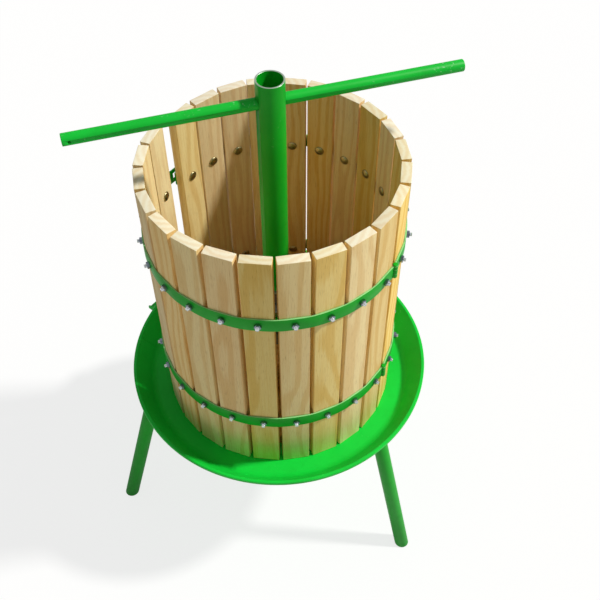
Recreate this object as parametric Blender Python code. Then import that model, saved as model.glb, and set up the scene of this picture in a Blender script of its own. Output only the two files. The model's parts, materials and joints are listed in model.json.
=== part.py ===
"""Basket fruit press on a three-legged tray.

A round steel tray on splayed legs carries a basket of wooden staves, bolted inside out to two steel
hoops. The basket is made as two halves, pinned together at one side and closed by two hasps at the
other. Boards and battens lie in the basket. A threaded spindle stands in the middle of the tray. A
tube with a nut in its lower end is screwed down the spindle with a tee bar, and presses a square foot
on the battens. The foot hangs from the nut by a ring and doesn't turn with it.

Every piece is placed from the press axis, which is the spindle's centre line. Lengths are in metres,
angles in radians, and +Z is up. The ground is at height 0.
"""

import math

import bmesh
import bpy
from mathutils import Matrix, Vector

# ---------------------------------------------------------------- general
GAP = 0.0003                      # left between pieces that touch
TURNS = 16                        # facets round a small tube, pin or bar
PAST = 0.050                      # how far a cutter runs past what it cuts
AXIS_X = 0.0244                   # the press axis, off the middle of the outline
AXIS_Y = -0.0314

# ---------------------------------------------------------------- basket
STAVES_PER_HALF = 12
STAVE_WIDTH = 0.0455
STAVE_THICKNESS = 0.016
STAVE_LENGTH = 0.510
STAVE_GAP = 0.0033                # between the inner edges of two staves
OPENING_ANGLE = math.radians(4.9)    # left over where the halves meet under the hasps
HINGE_ANGLE = math.radians(-31.3)    # direction of the hinged side
TUCKED_STAVES = 3                 # last staves of the right half, bent inward
TUCK_ANGLE = math.radians(4.5)    # how far that stretch is turned in
TUCK_GAP = 0.0005                 # between inner edges where that stretch starts

# ---------------------------------------------------------------- hoops and their bolts
HOOP_HEIGHT = 0.025
HOOP_THICKNESS = 0.003
HOOP_LOWER = 0.1254               # middle of each hoop, above the staves' lower ends
HOOP_UPPER = 0.3828
HOOP_END = 0.0005                 # each hoop ends this far short of its last stave's edge
BOLT_SIDES = 6
BOLT_RADIUS = 0.003
BOLT_HEAD_RADIUS = 0.00825
BOLT_HEAD_HEIGHT = 0.0035
BOLT_CROWN_RADIUS = 0.0035
BOLT_CROWN_DROP = 0.0022          # the head's crown above its edge
NUT_RADIUS = 0.00577
NUT_HEIGHT = 0.005
NUT_SINK = 0.0002                 # the nut's overlap with the hoop it is joined to
THREAD_END = 0.004                # bolt showing past its nut

# ---------------------------------------------------------------- hinges and hasps
KNUCKLE_RADIUS = 0.0045
KNUCKLE_SHARE = 0.36              # middle knuckle's share of the hoop's height
KNUCKLE_GAP = 0.0006              # between pieces that turn past each other
KNUCKLE_STEP = 0.0002             # knuckle's end short of its strip's edge
PIN_RADIUS = 0.0025
PIN_HEAD_RADIUS = 0.0040
PIN_HEAD_HEIGHT = 0.002
PIN_TAIL = 0.0015                 # pin showing under its lowest knuckle
HASP_THICKNESS = 0.003
HASP_END_BAR = 0.0036             # left past the window
HASP_RAIL = 0.0065                # left above and below the window
HASP_CLEARANCE = 0.0016           # window round its stud
STUD_PLACE = 0.0160               # stud's middle from the middle of the right half's last stave
STUD_LENGTH = 0.006
STUD_HEIGHT = 0.0038
STUD_CLEARANCE = 0.0014           # between the stud's top and the lifted hasp
HASP_PIN_PAST = 0.001             # pin past the edge of the left half's last stave

# ---------------------------------------------------------------- tray
TRAY_FLOOR = 0.288                # top of the floor, above the ground
TRAY_SHEET = 0.0025
TRAY_CHANNEL = 0.0345             # floor that shows outside the basket
TRAY_WALL_HEIGHT = 0.038
TRAY_WALL_FLARE = 0.028           # how far the wall leans out
TRAY_BEND = 0.006                 # the floor's edge rises over this width
TRAY_BEND_RISE = 0.0036
TRAY_LIP = 0.004                  # rim turned outward, then down
TRAY_LIP_DROP = 0.006
TRAY_TURNS = 48

SPOUT_ANGLE = math.radians(140.0)
SPOUT_WIDTH = 0.090
SPOUT_REACH = 0.032               # past the rim
SPOUT_LAP = 0.014                 # under the tray's floor
SPOUT_START = 0.008               # the tray is cut away from here, inside the floor's edge
SPOUT_LIP_HEIGHT = 0.006

# ---------------------------------------------------------------- legs and braces
LEGS = {"left": math.radians(-162.4), "right": math.radians(-45.3), "back": math.radians(76.4)}
LEG_RADIUS = 0.01345
LEG_WALL = 0.0026
LEG_TOP_OUTSET = 0.0085           # leg's centre line outside the floor's edge, at floor height
LEG_SPREAD = 0.081                # how much further out the foot stands
LEG_TOP_SPARE = 0.060             # length run past the floor before the end is coped
HUB_RADIUS = 0.035
HUB_HEIGHT = 0.040
BRACE_HEIGHT = 0.036
BRACE_THICKNESS = 0.006

# ---------------------------------------------------------------- spindle
SPINDLE_RADIUS = 0.015
SPINDLE_CHAMFER = 0.0025
SPINDLE_BELOW_TOP = 0.004         # spindle's end under the staves' upper ends
SPINDLE_TAIL = 0.010              # thread showing under the lower nut
SPINDLE_NUT_WIDTH = 0.0116        # nut's corners past the spindle
NUT_SIDES = 6
UPPER_NUT_HEIGHT = 0.018
LOWER_NUT_HEIGHT = 0.024

# ---------------------------------------------------------------- boards and battens
BOARD_THICKNESS = 0.024
BOARD_CLEARANCE = 0.003           # between the boards' edge and the nearest bolt head
BOARD_HOLE_CLEARANCE = 0.0054     # round the spindle's nut
BOARD_TURNS = 48
BATTEN_LENGTH = 0.250
BATTEN_WIDTH = 0.045
BATTEN_HEIGHT = 0.0395            # two crossed layers of these
BATTEN_CHAMFER = 0.012            # cut off the ends of its top edge
BATTEN_SPACING = 0.050            # middle of each batten from the spindle

# ---------------------------------------------------------------- pressing foot
FOOT_RAISED = 0.095               # clear of the battens
FOOT_SIDE = 0.120
FOOT_THICKNESS = 0.008

# ---------------------------------------------------------------- tube, nut and tee bar
TUBE_WALL = 0.0026
SPIGOT_WALL = 0.0028              # nut's spigot inside the tube
TUBE_ABOVE_BASKET = 0.145
TUBE_TURNS = 24
FLANGE_WIDTH = 0.008              # flange past the nut's body
FLANGE_HEIGHT = 0.008
NUT_SHOULDER = 0.0088             # nut's body past the tube
NUT_BODY_HEIGHT = 0.030
SPIGOT_HEIGHT = 0.015
KEEPER_WIDTH = 0.012              # keeper ring past the flange
KEEPER_LIP = 0.004
RUNNING_GAP = 0.0005              # between turning pieces
TEE_ABOVE_BASKET = 0.109
TEE_RADIUS = 0.009
TEE_CHAMFER = 0.0012
TEE_LENGTH = 0.572
TEE_ANGLE = math.radians(14.4)
TEE_HOLE_RADIUS = 0.0025
TEE_HOLE_INSET = 0.010

# ---------------------------------------------------------------- sizes that follow
STAVE_PITCH = (2 * math.pi - OPENING_ANGLE) / (2 * STAVES_PER_HALF)
SPINDLE_NUT_RADIUS = SPINDLE_RADIUS + SPINDLE_NUT_WIDTH
BOARD_HOLE_RADIUS = SPINDLE_NUT_RADIUS + BOARD_HOLE_CLEARANCE
TUBE_RADIUS = SPINDLE_RADIUS + RUNNING_GAP + SPIGOT_WALL + GAP + TUBE_WALL
NUT_BODY_RADIUS = TUBE_RADIUS + NUT_SHOULDER
FLANGE_RADIUS = NUT_BODY_RADIUS + FLANGE_WIDTH
KEEPER_RADIUS = FLANGE_RADIUS + KEEPER_WIDTH
BASKET_RADIUS = (STAVE_WIDTH + STAVE_GAP) / 2 / math.tan(STAVE_PITCH / 2)
BASKET_BOTTOM = TRAY_FLOOR + GAP
BASKET_TOP = BASKET_BOTTOM + STAVE_LENGTH
STAVE_CORNER = math.hypot(BASKET_RADIUS + STAVE_THICKNESS, STAVE_WIDTH / 2)
FLOOR_RADIUS = STAVE_CORNER + TRAY_CHANNEL
RIM_RADIUS = FLOOR_RADIUS + TRAY_WALL_FLARE
LEG_SLOPE = LEG_SPREAD / TRAY_FLOOR
HUB_TOP = TRAY_FLOOR - TRAY_SHEET - GAP
HUB_BOTTOM = HUB_TOP - HUB_HEIGHT
LOWER_NUT_BOTTOM = HUB_BOTTOM - GAP - LOWER_NUT_HEIGHT
BATTEN_BOTTOM = BASKET_BOTTOM + BOARD_THICKNESS + GAP
STACK_TOP = BATTEN_BOTTOM + 2 * BATTEN_HEIGHT + GAP
FOOT_BOTTOM = STACK_TOP + FOOT_RAISED
FLANGE_BOTTOM = FOOT_BOTTOM + FOOT_THICKNESS + GAP
NUT_TOP = FLANGE_BOTTOM + FLANGE_HEIGHT + NUT_BODY_HEIGHT
TUBE_BOTTOM = NUT_TOP + GAP
HOOP_INSIDE = STAVE_THICKNESS + GAP
HOOP_OUTSIDE = HOOP_INSIDE + HOOP_THICKNESS
KNUCKLE_REACH = KNUCKLE_RADIUS + KNUCKLE_GAP


# ================================================================ Blender helpers
def clear_scene():
    for item in list(bpy.data.objects):
        bpy.data.objects.remove(item, do_unlink=True)


def paint(name, colour, roughness, metallic=0.0):
    """A plain material with one colour."""
    material = bpy.data.materials.new(name)
    material.use_nodes = True
    shader = material.node_tree.nodes["Principled BSDF"]
    shader.inputs["Base Color"].default_value = (*colour, 1.0)
    shader.inputs["Roughness"].default_value = roughness
    shader.inputs["Metallic"].default_value = metallic
    material.diffuse_color = (*colour, 1.0)
    return material


def to_mesh(name, shape, smooth=False):
    """Turn a bmesh into a mesh, with its normals outward."""
    bmesh.ops.recalc_face_normals(shape, faces=shape.faces)
    mesh = bpy.data.meshes.new(name)
    shape.to_mesh(mesh)
    shape.free()
    if smooth:
        mesh.shade_smooth()
        mesh.set_sharp_from_angle(angle=math.radians(40))
    return mesh


def place_of(item):
    """Where a joint's empty stands, from the press axis."""
    return Vector(item["place"][:])


def empty(name, location, parent=None):
    """A joint's frame, at a place given from the press axis."""
    item = bpy.data.objects.new(name, None)
    item.empty_display_size = 0.05
    item.parent = parent
    item.location = Vector(location) - (place_of(parent) if parent else Vector())
    item["place"] = Vector(location)
    bpy.context.collection.objects.link(item)
    return item


def place(name, mesh, material, parent, matrix=Matrix()):
    """Add a piece under a joint's empty; matrix puts its mesh in the press axis's frame."""
    item = bpy.data.objects.new(name, mesh)
    if not mesh.materials:
        mesh.materials.append(material)
    item.parent = parent
    item.matrix_local = Matrix.Translation(-place_of(parent)) @ matrix
    bpy.context.collection.objects.link(item)
    return item


def combine(mesh, others, operation):
    """Cut other meshes from a mesh, or join them to it, and return the result."""
    base = bpy.data.objects.new("base", mesh)
    bpy.context.collection.objects.link(base)
    helpers = [base]
    for other in others:
        helper = bpy.data.objects.new("helper", other)
        bpy.context.collection.objects.link(helper)
        helpers.append(helper)
        modifier = base.modifiers.new(operation.lower(), "BOOLEAN")
        modifier.operation = operation
        modifier.object = helper
    shown = base.evaluated_get(bpy.context.evaluated_depsgraph_get())
    result = bpy.data.meshes.new_from_object(shown)
    for helper in helpers:
        bpy.data.objects.remove(helper, do_unlink=True)
    return result


def moved(mesh, matrix):
    """A copy of a mesh, moved."""
    copy = mesh.copy()
    copy.transform(matrix)
    return copy


# ================================================================ shapes
def turned(profile, sides):
    """Turn a profile of (radius, height) points about Z. A solid's profile starts and ends at radius 0."""
    solid = profile[0][0] == 0
    shape = bmesh.new()
    rings = []
    for radius, height in profile[1:-1] if solid else profile:
        ring = []
        for step in range(sides):
            corner = polar(radius, 2 * math.pi * (step + 0.5) / sides)
            ring.append(shape.verts.new((*corner, height)))
        rings.append(ring)
    pairs = list(zip(rings, rings[1:]))
    if solid:
        shape.faces.new(rings[0])
        shape.faces.new(rings[-1])
    else:
        pairs.append((rings[-1], rings[0]))
    for low, high in pairs:
        for step in range(sides):
            after = (step + 1) % sides
            shape.faces.new((low[step], low[after], high[after], high[step]))
    return shape


def cylinder(radius, bottom, top, sides=TURNS):
    return turned([(0, bottom), (radius, bottom), (radius, top), (0, top)], sides)


def pipe(outer, inner, bottom, top, sides=TURNS):
    return turned([(inner, bottom), (outer, bottom), (outer, top), (inner, top)], sides)


def prism(outline, bottom, top):
    """A flat outline of (x, y) points, raised from bottom to top."""
    shape = bmesh.new()
    base = shape.faces.new([shape.verts.new((x, y, bottom)) for x, y in outline])
    raised = bmesh.ops.extrude_face_region(shape, geom=[base])
    tops = [item for item in raised["geom"] if isinstance(item, bmesh.types.BMVert)]
    bmesh.ops.translate(shape, verts=tops, vec=(0, 0, top - bottom))
    return shape


def block(low, high):
    """A box between two corners."""
    outline = [(low[0], low[1]), (high[0], low[1]), (high[0], high[1]), (low[0], high[1])]
    return prism(outline, low[2], high[2])


def around(radius, sides=TURNS):
    """Radius to the corners of a faceted hole that clears a turning bar of this radius."""
    return radius / math.cos(math.pi / sides)


def polar(radius, angle):
    return Vector((radius * math.cos(angle), radius * math.sin(angle)))


# ================================================================ the basket's plan
class StaveFrame:
    """Where one stave stands: the middle of its inner face, and the way it faces."""

    def __init__(self, centre, facing, side):
        self.centre = centre
        self.facing = facing
        self.out = polar(1.0, facing)
        self.along = polar(1.0, facing + side * math.pi / 2)

    def point(self, outward, sideways):
        """A plan point; sideways runs from the hinge towards the hasps."""
        return self.centre + self.out * outward + self.along * sideways

    def matrix(self, height):
        """Local X runs outward through the stave, local Z up."""
        turn = Matrix.Rotation(self.facing, 4, "Z")
        return Matrix.Translation((self.centre.x, self.centre.y, height)) @ turn


def joint_gap(side, number):
    """Gap at the inner edges before a stave of one half; number counts from 0 at the hinge."""
    tucked = side > 0 and number == STAVES_PER_HALF - TUCKED_STAVES
    return TUCK_GAP if tucked else STAVE_GAP


def half_basket(side):
    """The staves of one half, from the hinge to the hasps; side is 1 on the right, -1 on the left."""
    facing = HINGE_ANGLE + side * STAVE_PITCH / 2
    frames = [StaveFrame(polar(BASKET_RADIUS, facing), facing, side)]
    for number in range(1, STAVES_PER_HALF):
        last = frames[-1]
        facing = last.facing + side * STAVE_PITCH
        if side > 0 and number == STAVES_PER_HALF - TUCKED_STAVES:
            facing += TUCK_ANGLE
        along = polar(1.0, facing + side * math.pi / 2)
        half = (STAVE_WIDTH + joint_gap(side, number)) / 2
        frames.append(StaveFrame(last.point(0, half) + along * half, facing, side))
    return frames


LEFT = half_basket(-1)
RIGHT = half_basket(1)


def hinge_place():
    """The hinge's centre, as close in as its knuckles clear the staves on both sides."""
    corner = RIGHT[0].point(STAVE_THICKNESS, -STAVE_WIDTH / 2)
    out = polar(1.0, HINGE_ANGLE)
    inward = corner.dot(out)
    sideways = abs(corner.cross(out))
    return out * (inward + math.sqrt(KNUCKLE_REACH ** 2 - sideways ** 2))


def hasp_place():
    """The hasps' pin, outside the edge of the left half's last stave."""
    return LEFT[-1].point(HOOP_INSIDE + KNUCKLE_RADIUS, STAVE_WIDTH / 2 + HASP_PIN_PAST)


HINGE_PLACE = hinge_place()
HASP_PLACE = hasp_place()


def hasp_span(sideways, height):
    """Reach and inward slope of a hasp whose inner face stands over a point of the right hoop.

    The point is given sideways on the right half's last stave, and in height above the hoop there.
    The slope is measured from the hoop's face.
    """
    stave = RIGHT[-1]
    target = stave.point(HOOP_OUTSIDE + height, sideways)
    drop = (HASP_PLACE - target).dot(stave.out)
    span = (HASP_PLACE - target).length
    reach = math.sqrt(span ** 2 - KNUCKLE_RADIUS ** 2)
    return reach, math.asin(drop / span) - math.atan2(KNUCKLE_RADIUS, reach)


STUD_FAR = STUD_PLACE - STUD_LENGTH / 2
HASP_REACH = hasp_span(STUD_FAR - HASP_CLEARANCE - HASP_END_BAR, GAP)[0]
HASP_SLOPE = hasp_span(STUD_FAR, STUD_HEIGHT + STUD_CLEARANCE)[1]
HASP_WINDOW_FAR = hasp_span(STUD_FAR - HASP_CLEARANCE, GAP)[0]
HASP_WINDOW_NEAR = hasp_span(STUD_PLACE + STUD_LENGTH / 2 + HASP_CLEARANCE, GAP)[0]
HASP_FACING = RIGHT[-1].facing - math.pi / 2 - HASP_SLOPE
BOARD_RADIUS = min(stave.centre.dot(stave.out) for stave in LEFT + RIGHT)
BOARD_RADIUS -= GAP + BOLT_HEAD_HEIGHT + BOARD_CLEARANCE


# ================================================================ pieces of the basket
def stave_mesh():
    """A plain stave, standing on its lower end, with two bolt holes."""
    half = STAVE_WIDTH / 2
    body = to_mesh("stave", block((0, -half, 0), (STAVE_THICKNESS, half, STAVE_LENGTH)))
    hole = cylinder(BOLT_RADIUS + GAP / math.cos(math.pi / BOLT_SIDES), -PAST, PAST, BOLT_SIDES)
    hole = to_mesh("hole", hole)
    hole.transform(Matrix.Rotation(math.pi / 2, 4, "Y"))
    cutters = [moved(hole, Matrix.Translation((0, 0, height))) for height in (HOOP_LOWER, HOOP_UPPER)]
    return combine(body, cutters, "DIFFERENCE")


def bolt_mesh():
    """A bolt with its nut, along local X, from its head inside the stave to its end outside."""
    head = -GAP - BOLT_HEAD_HEIGHT
    nut = HOOP_OUTSIDE - NUT_SINK
    profile = [
        (0, head),
        (BOLT_CROWN_RADIUS, head),
        (BOLT_HEAD_RADIUS, head + BOLT_CROWN_DROP),
        (BOLT_HEAD_RADIUS, -GAP),
        (BOLT_RADIUS, -GAP),
        (BOLT_RADIUS, nut),
        (NUT_RADIUS, nut),
        (NUT_RADIUS, nut + NUT_HEIGHT),
        (BOLT_RADIUS, nut + NUT_HEIGHT),
        (BOLT_RADIUS, nut + NUT_HEIGHT + THREAD_END),
        (0, nut + NUT_HEIGHT + THREAD_END),
    ]
    mesh = to_mesh("bolt", turned(profile, BOLT_SIDES))
    mesh.transform(Matrix.Rotation(math.pi / 2, 4, "Y"))
    return mesh


def joined(meshes, name):
    """Several separate meshes, copied into one."""
    shape = bmesh.new()
    for mesh in meshes:
        shape.from_mesh(mesh)
    return to_mesh(name, shape)


def strip(staves, start, end):
    """Plan outline of a hoop round these staves, from a place on the first to a place on the last."""
    outline = []
    for outward in (HOOP_INSIDE, HOOP_OUTSIDE):
        side = [staves[0].point(outward, start)]
        for before, after in zip(staves, staves[1:]):
            bend = abs(after.facing - before.facing)
            half = (after.centre - before.centre).length / 2 / math.cos(bend / 2)
            corner = before.point(0, half)
            middle = (before.out + after.out).normalized()
            side.append(corner + middle * outward / math.cos(bend / 2))
        side.append(staves[-1].point(outward, end))
        outline += side if outward == HOOP_INSIDE else side[::-1]
    return outline


def knuckle_bands(middle):
    """Heights of the middle knuckle, or of the two outer ones, on a strip of a hoop's height."""
    half = HOOP_HEIGHT / 2
    inner = half * KNUCKLE_SHARE
    if middle:
        return [(-inner, inner)]
    return [(-half, -inner - KNUCKLE_GAP), (inner + KNUCKLE_GAP, half)]


def notch_bands(middle):
    """Heights that are cut away from the end of a strip, where the other piece's knuckles go."""
    inner = HOOP_HEIGHT / 2 * KNUCKLE_SHARE
    if middle:
        return [(-HOOP_HEIGHT, -inner), (inner, HOOP_HEIGHT)]
    return [(-inner - KNUCKLE_GAP, inner + KNUCKLE_GAP)]


def knuckles(place_xy, middle):
    """Solid knuckles round a pin, a little lower than the strip that carries them."""
    meshes = []
    for low, high in knuckle_bands(middle):
        mesh = to_mesh("knuckle", cylinder(KNUCKLE_RADIUS, low + KNUCKLE_STEP, high - KNUCKLE_STEP))
        mesh.transform(Matrix.Translation((*place_xy, 0)))
        meshes.append(mesh)
    return meshes


def pin_bore(place_xy):
    bore = to_mesh("bore", cylinder(around(PIN_RADIUS + GAP), -HOOP_HEIGHT, HOOP_HEIGHT))
    bore.transform(Matrix.Translation((*place_xy, 0)))
    return bore


def notches(stave, pin_sideways, direction, middle):
    """Cutters for the end of a strip; direction is where the strip runs from the pin."""
    inner = pin_sideways + direction * KNUCKLE_REACH
    outer = pin_sideways - direction * KNUCKLE_RADIUS
    corners = [(0, inner), (0, outer), (2 * HOOP_OUTSIDE, outer), (2 * HOOP_OUTSIDE, inner)]
    outline = [stave.point(outward, sideways) for outward, sideways in corners]
    return [to_mesh("notch", prism(outline, low, high)) for low, high in notch_bands(middle)]


def sideways_of(stave, point):
    return (point - stave.centre).dot(stave.along)


def hoop_mesh(staves, right):
    """Half a hoop with its bolts, knuckles and, on the right half, the hasp's stud."""
    first, last = staves[0], staves[-1]
    start = sideways_of(first, HINGE_PLACE)
    end = STAVE_WIDTH / 2 - HOOP_END
    cutters = notches(first, start, 1, right)
    parts = knuckles(HINGE_PLACE, right)
    bores = [pin_bore(HINGE_PLACE)]
    if right:
        parts.append(stud_mesh(last))
    else:
        end = sideways_of(last, HASP_PLACE)
        cutters += notches(last, end, -1, False)
        parts += knuckles(HASP_PLACE, False)
        bores.append(pin_bore(HASP_PLACE))
    band = to_mesh("band", prism(strip(staves, start, end), -HOOP_HEIGHT / 2, HOOP_HEIGHT / 2))
    band = combine(band, cutters, "DIFFERENCE")
    bolt = bolt_mesh()
    parts.append(joined([moved(bolt, stave.matrix(0)) for stave in staves], "bolts"))
    return combine(combine(band, parts, "UNION"), bores, "DIFFERENCE")


def stud_mesh(stave):
    """The block on the right half's hoop that a hasp's window drops over."""
    width = HOOP_HEIGHT - 2 * (HASP_RAIL + HASP_CLEARANCE)
    low = (HOOP_OUTSIDE - NUT_SINK, STUD_PLACE - STUD_LENGTH / 2, -width / 2)
    high = (HOOP_OUTSIDE + STUD_HEIGHT, STUD_PLACE + STUD_LENGTH / 2, width / 2)
    mesh = to_mesh("stud", block(low, high))
    mesh.transform(stave.matrix(0))
    return mesh


def hasp_mesh():
    """A hinged plate with a window, along local X from its pin, its inner face at the -Y side."""
    half = HOOP_HEIGHT / 2
    inside = -KNUCKLE_RADIUS
    outside = inside + HASP_THICKNESS
    plate = to_mesh("plate", block((0, inside, -half), (HASP_REACH, outside, half)))
    cutters = []
    for low, high in notch_bands(True):
        notch = block((-KNUCKLE_RADIUS, 2 * inside, low), (KNUCKLE_REACH, KNUCKLE_RADIUS, high))
        cutters.append(to_mesh("notch", notch))
    rail = half - HASP_RAIL
    window = block((HASP_WINDOW_NEAR, 2 * inside, -rail), (HASP_WINDOW_FAR, KNUCKLE_RADIUS, rail))
    cutters.append(to_mesh("window", window))
    plate = combine(plate, cutters, "DIFFERENCE")
    whole = combine(plate, knuckles((0, 0), True), "UNION")
    return combine(whole, [pin_bore((0, 0))], "DIFFERENCE")


def pin_mesh():
    """A headed pin through three knuckles of a hoop."""
    half = HOOP_HEIGHT / 2
    profile = [
        (0, -half - PIN_TAIL),
        (PIN_RADIUS, -half - PIN_TAIL),
        (PIN_RADIUS, half + GAP),
        (PIN_HEAD_RADIUS, half + GAP),
        (PIN_HEAD_RADIUS, half + GAP + PIN_HEAD_HEIGHT),
        (0, half + GAP + PIN_HEAD_HEIGHT),
    ]
    return to_mesh("pin", turned(profile, TURNS), smooth=True)


# ================================================================ tray, legs and spindle
def tray_mesh():
    """A flat floor with a hole for the spindle, a leaning wall and a rim turned down."""
    bottom = TRAY_FLOOR - TRAY_SHEET
    top = TRAY_FLOOR + TRAY_WALL_HEIGHT
    hole = around(SPINDLE_RADIUS + GAP, TRAY_TURNS)
    under = [
        (FLOOR_RADIUS, bottom),
        (FLOOR_RADIUS + TRAY_BEND, bottom + TRAY_BEND_RISE),
        (RIM_RADIUS, top - TRAY_SHEET),
    ]
    lip = [
        (RIM_RADIUS + TRAY_LIP - TRAY_SHEET / 2, top - TRAY_SHEET),
        (RIM_RADIUS + TRAY_LIP - TRAY_SHEET / 2, top - TRAY_LIP_DROP),
        (RIM_RADIUS + TRAY_LIP, top - TRAY_LIP_DROP),
        (RIM_RADIUS + TRAY_LIP, top - TRAY_SHEET / 2),
        (RIM_RADIUS + TRAY_LIP / 2, top),
        (RIM_RADIUS - TRAY_SHEET, top),
    ]
    above = [
        (FLOOR_RADIUS + TRAY_BEND - TRAY_SHEET, TRAY_FLOOR + TRAY_BEND_RISE),
        (FLOOR_RADIUS - TRAY_SHEET / 2, TRAY_FLOOR),
    ]
    profile = [(hole, bottom)] + under + lip + above + [(hole, TRAY_FLOOR)]
    tray = to_mesh("tray", turned(profile, TRAY_TURNS))
    half = SPOUT_WIDTH / 2 + TRAY_SHEET + GAP
    gate = block((FLOOR_RADIUS - SPOUT_START, -half, bottom - PAST), (RIM_RADIUS + PAST, half, top + PAST))
    gate = to_mesh("gate", gate)
    gate.transform(Matrix.Rotation(SPOUT_ANGLE, 4, "Z"))
    return combine(tray, [gate], "DIFFERENCE")


def spout_mesh():
    """A short open channel along local X, lapped under the tray's floor."""
    top = TRAY_FLOOR - TRAY_SHEET - GAP
    bottom = top - TRAY_SHEET
    inner = FLOOR_RADIUS - SPOUT_START + GAP
    end = RIM_RADIUS + SPOUT_REACH
    half = SPOUT_WIDTH / 2
    side_out = half + TRAY_SHEET
    floor = to_mesh("floor", block((inner - SPOUT_LAP, -side_out, bottom), (end, side_out, top)))
    side = [
        (inner, bottom),
        (end, bottom),
        (end, top + SPOUT_LIP_HEIGHT),
        (RIM_RADIUS, TRAY_FLOOR + TRAY_WALL_HEIGHT - TRAY_LIP_DROP),
        (inner + TRAY_BEND, TRAY_FLOOR + TRAY_BEND),
        (inner, TRAY_FLOOR),
    ]
    sides = []
    for near in (-side_out, half):
        wall = to_mesh("side", prism(side, near, near + TRAY_SHEET))
        wall.transform(Matrix.Rotation(math.pi / 2, 4, "X"))
        sides.append(wall)
    return combine(floor, sides, "UNION")


def leg_offset(height):
    """Distance of a leg's centre line from the press axis at a height."""
    return FLOOR_RADIUS + LEG_TOP_OUTSET + LEG_SLOPE * (TRAY_FLOOR - height)


def leg_mesh(angle):
    """A splayed tube along local X, flat on the ground and coped to the tray, for a leg at this angle."""
    tube = to_mesh("leg", pipe(LEG_RADIUS, LEG_RADIUS - LEG_WALL, 0, TRAY_FLOOR + LEG_TOP_SPARE))
    stretch = math.hypot(1, LEG_SLOPE)
    rows = ((stretch, 0, -LEG_SLOPE, leg_offset(0)), (0, 1, 0, 0), (0, 0, 1, 0), (0, 0, 0, 1))
    tube.transform(Matrix(rows))
    bottom = TRAY_FLOOR - TRAY_SHEET - GAP
    rim = TRAY_FLOOR + TRAY_WALL_HEIGHT - TRAY_SHEET - GAP
    outline = [
        (0, bottom),
        (FLOOR_RADIUS + GAP, bottom),
        (FLOOR_RADIUS + TRAY_BEND + 2 * GAP, bottom + TRAY_BEND_RISE),
        (RIM_RADIUS + 2 * GAP, rim),
        (RIM_RADIUS + 2 * GAP, rim + LEG_TOP_SPARE),
        (0, rim + LEG_TOP_SPARE),
    ]
    shadow = to_mesh("shadow", turned(outline, TRAY_TURNS))
    shadow.transform(Matrix.Rotation(-angle, 4, "Z"))
    return combine(tube, [shadow], "DIFFERENCE")


def brace_mesh():
    """A flat bar on edge along local X, from the hub to a leg."""
    bottom = HUB_TOP - BRACE_HEIGHT
    edge = LEG_RADIUS * math.hypot(1, LEG_SLOPE) + GAP
    outline = [
        (HUB_RADIUS + GAP, bottom),
        (leg_offset(bottom) - edge, bottom),
        (leg_offset(HUB_TOP) - edge, HUB_TOP),
        (HUB_RADIUS + GAP, HUB_TOP),
    ]
    mesh = to_mesh("brace", prism(outline, -BRACE_THICKNESS / 2, BRACE_THICKNESS / 2))
    mesh.transform(Matrix.Rotation(math.pi / 2, 4, "X"))
    return mesh


def hub_mesh():
    bore = around(SPINDLE_RADIUS + GAP, TUBE_TURNS)
    return to_mesh("hub", pipe(HUB_RADIUS, bore, HUB_BOTTOM, HUB_TOP, TUBE_TURNS))


def spindle_mesh():
    bottom = LOWER_NUT_BOTTOM - SPINDLE_TAIL
    top = BASKET_TOP - SPINDLE_BELOW_TOP
    profile = [
        (0, bottom),
        (SPINDLE_RADIUS - SPINDLE_CHAMFER, bottom),
        (SPINDLE_RADIUS, bottom + SPINDLE_CHAMFER),
        (SPINDLE_RADIUS, top - SPINDLE_CHAMFER),
        (SPINDLE_RADIUS - SPINDLE_CHAMFER, top),
        (0, top),
    ]
    return to_mesh("spindle", turned(profile, TUBE_TURNS), smooth=True)


def spindle_nut_mesh(bottom, height):
    """A hexagon nut round the spindle."""
    nut = to_mesh("nut", cylinder(SPINDLE_NUT_RADIUS, bottom, bottom + height, NUT_SIDES))
    wall = around(SPINDLE_RADIUS + GAP, TUBE_TURNS)
    bore = cylinder(wall, bottom - PAST, bottom + height + PAST, TUBE_TURNS)
    return combine(nut, [to_mesh("bore", bore)], "DIFFERENCE")


# ================================================================ boards, battens and foot
def arc(radius, start, end, steps):
    return [polar(radius, start + (end - start) * step / steps) for step in range(steps + 1)]


def board_mesh():
    """Half of the round board, on the +Y side of the joint between the halves."""
    turn = math.asin(GAP / 2 / BOARD_RADIUS)
    outer = arc(BOARD_RADIUS, turn, math.pi - turn, BOARD_TURNS // 2)
    turn = math.asin(GAP / 2 / BOARD_HOLE_RADIUS)
    inner = arc(BOARD_HOLE_RADIUS, math.pi - turn, turn, BOARD_TURNS // 4)
    return to_mesh("board", prism(outer + inner, BASKET_BOTTOM, BASKET_BOTTOM + BOARD_THICKNESS))


def batten_mesh():
    """A batten along local X, with the ends of its top edge cut off."""
    end = BATTEN_LENGTH / 2
    outline = [
        (-end, 0),
        (end, 0),
        (end, BATTEN_HEIGHT - BATTEN_CHAMFER),
        (end - BATTEN_CHAMFER, BATTEN_HEIGHT),
        (BATTEN_CHAMFER - end, BATTEN_HEIGHT),
        (-end, BATTEN_HEIGHT - BATTEN_CHAMFER),
    ]
    mesh = to_mesh("batten", prism(outline, -BATTEN_WIDTH / 2, BATTEN_WIDTH / 2))
    mesh.transform(Matrix.Rotation(math.pi / 2, 4, "X"))
    return mesh


def foot_mesh():
    """The square plate that the nut pushes, with a hole for the spindle."""
    half = FOOT_SIDE / 2
    top = FOOT_BOTTOM + FOOT_THICKNESS
    plate = to_mesh("plate", block((-half, -half, FOOT_BOTTOM), (half, half, top)))
    wall = around(SPINDLE_RADIUS + RUNNING_GAP, TUBE_TURNS)
    hole = cylinder(wall, FOOT_BOTTOM - PAST, top + PAST, TUBE_TURNS)
    return combine(plate, [to_mesh("hole", hole)], "DIFFERENCE")


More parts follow.
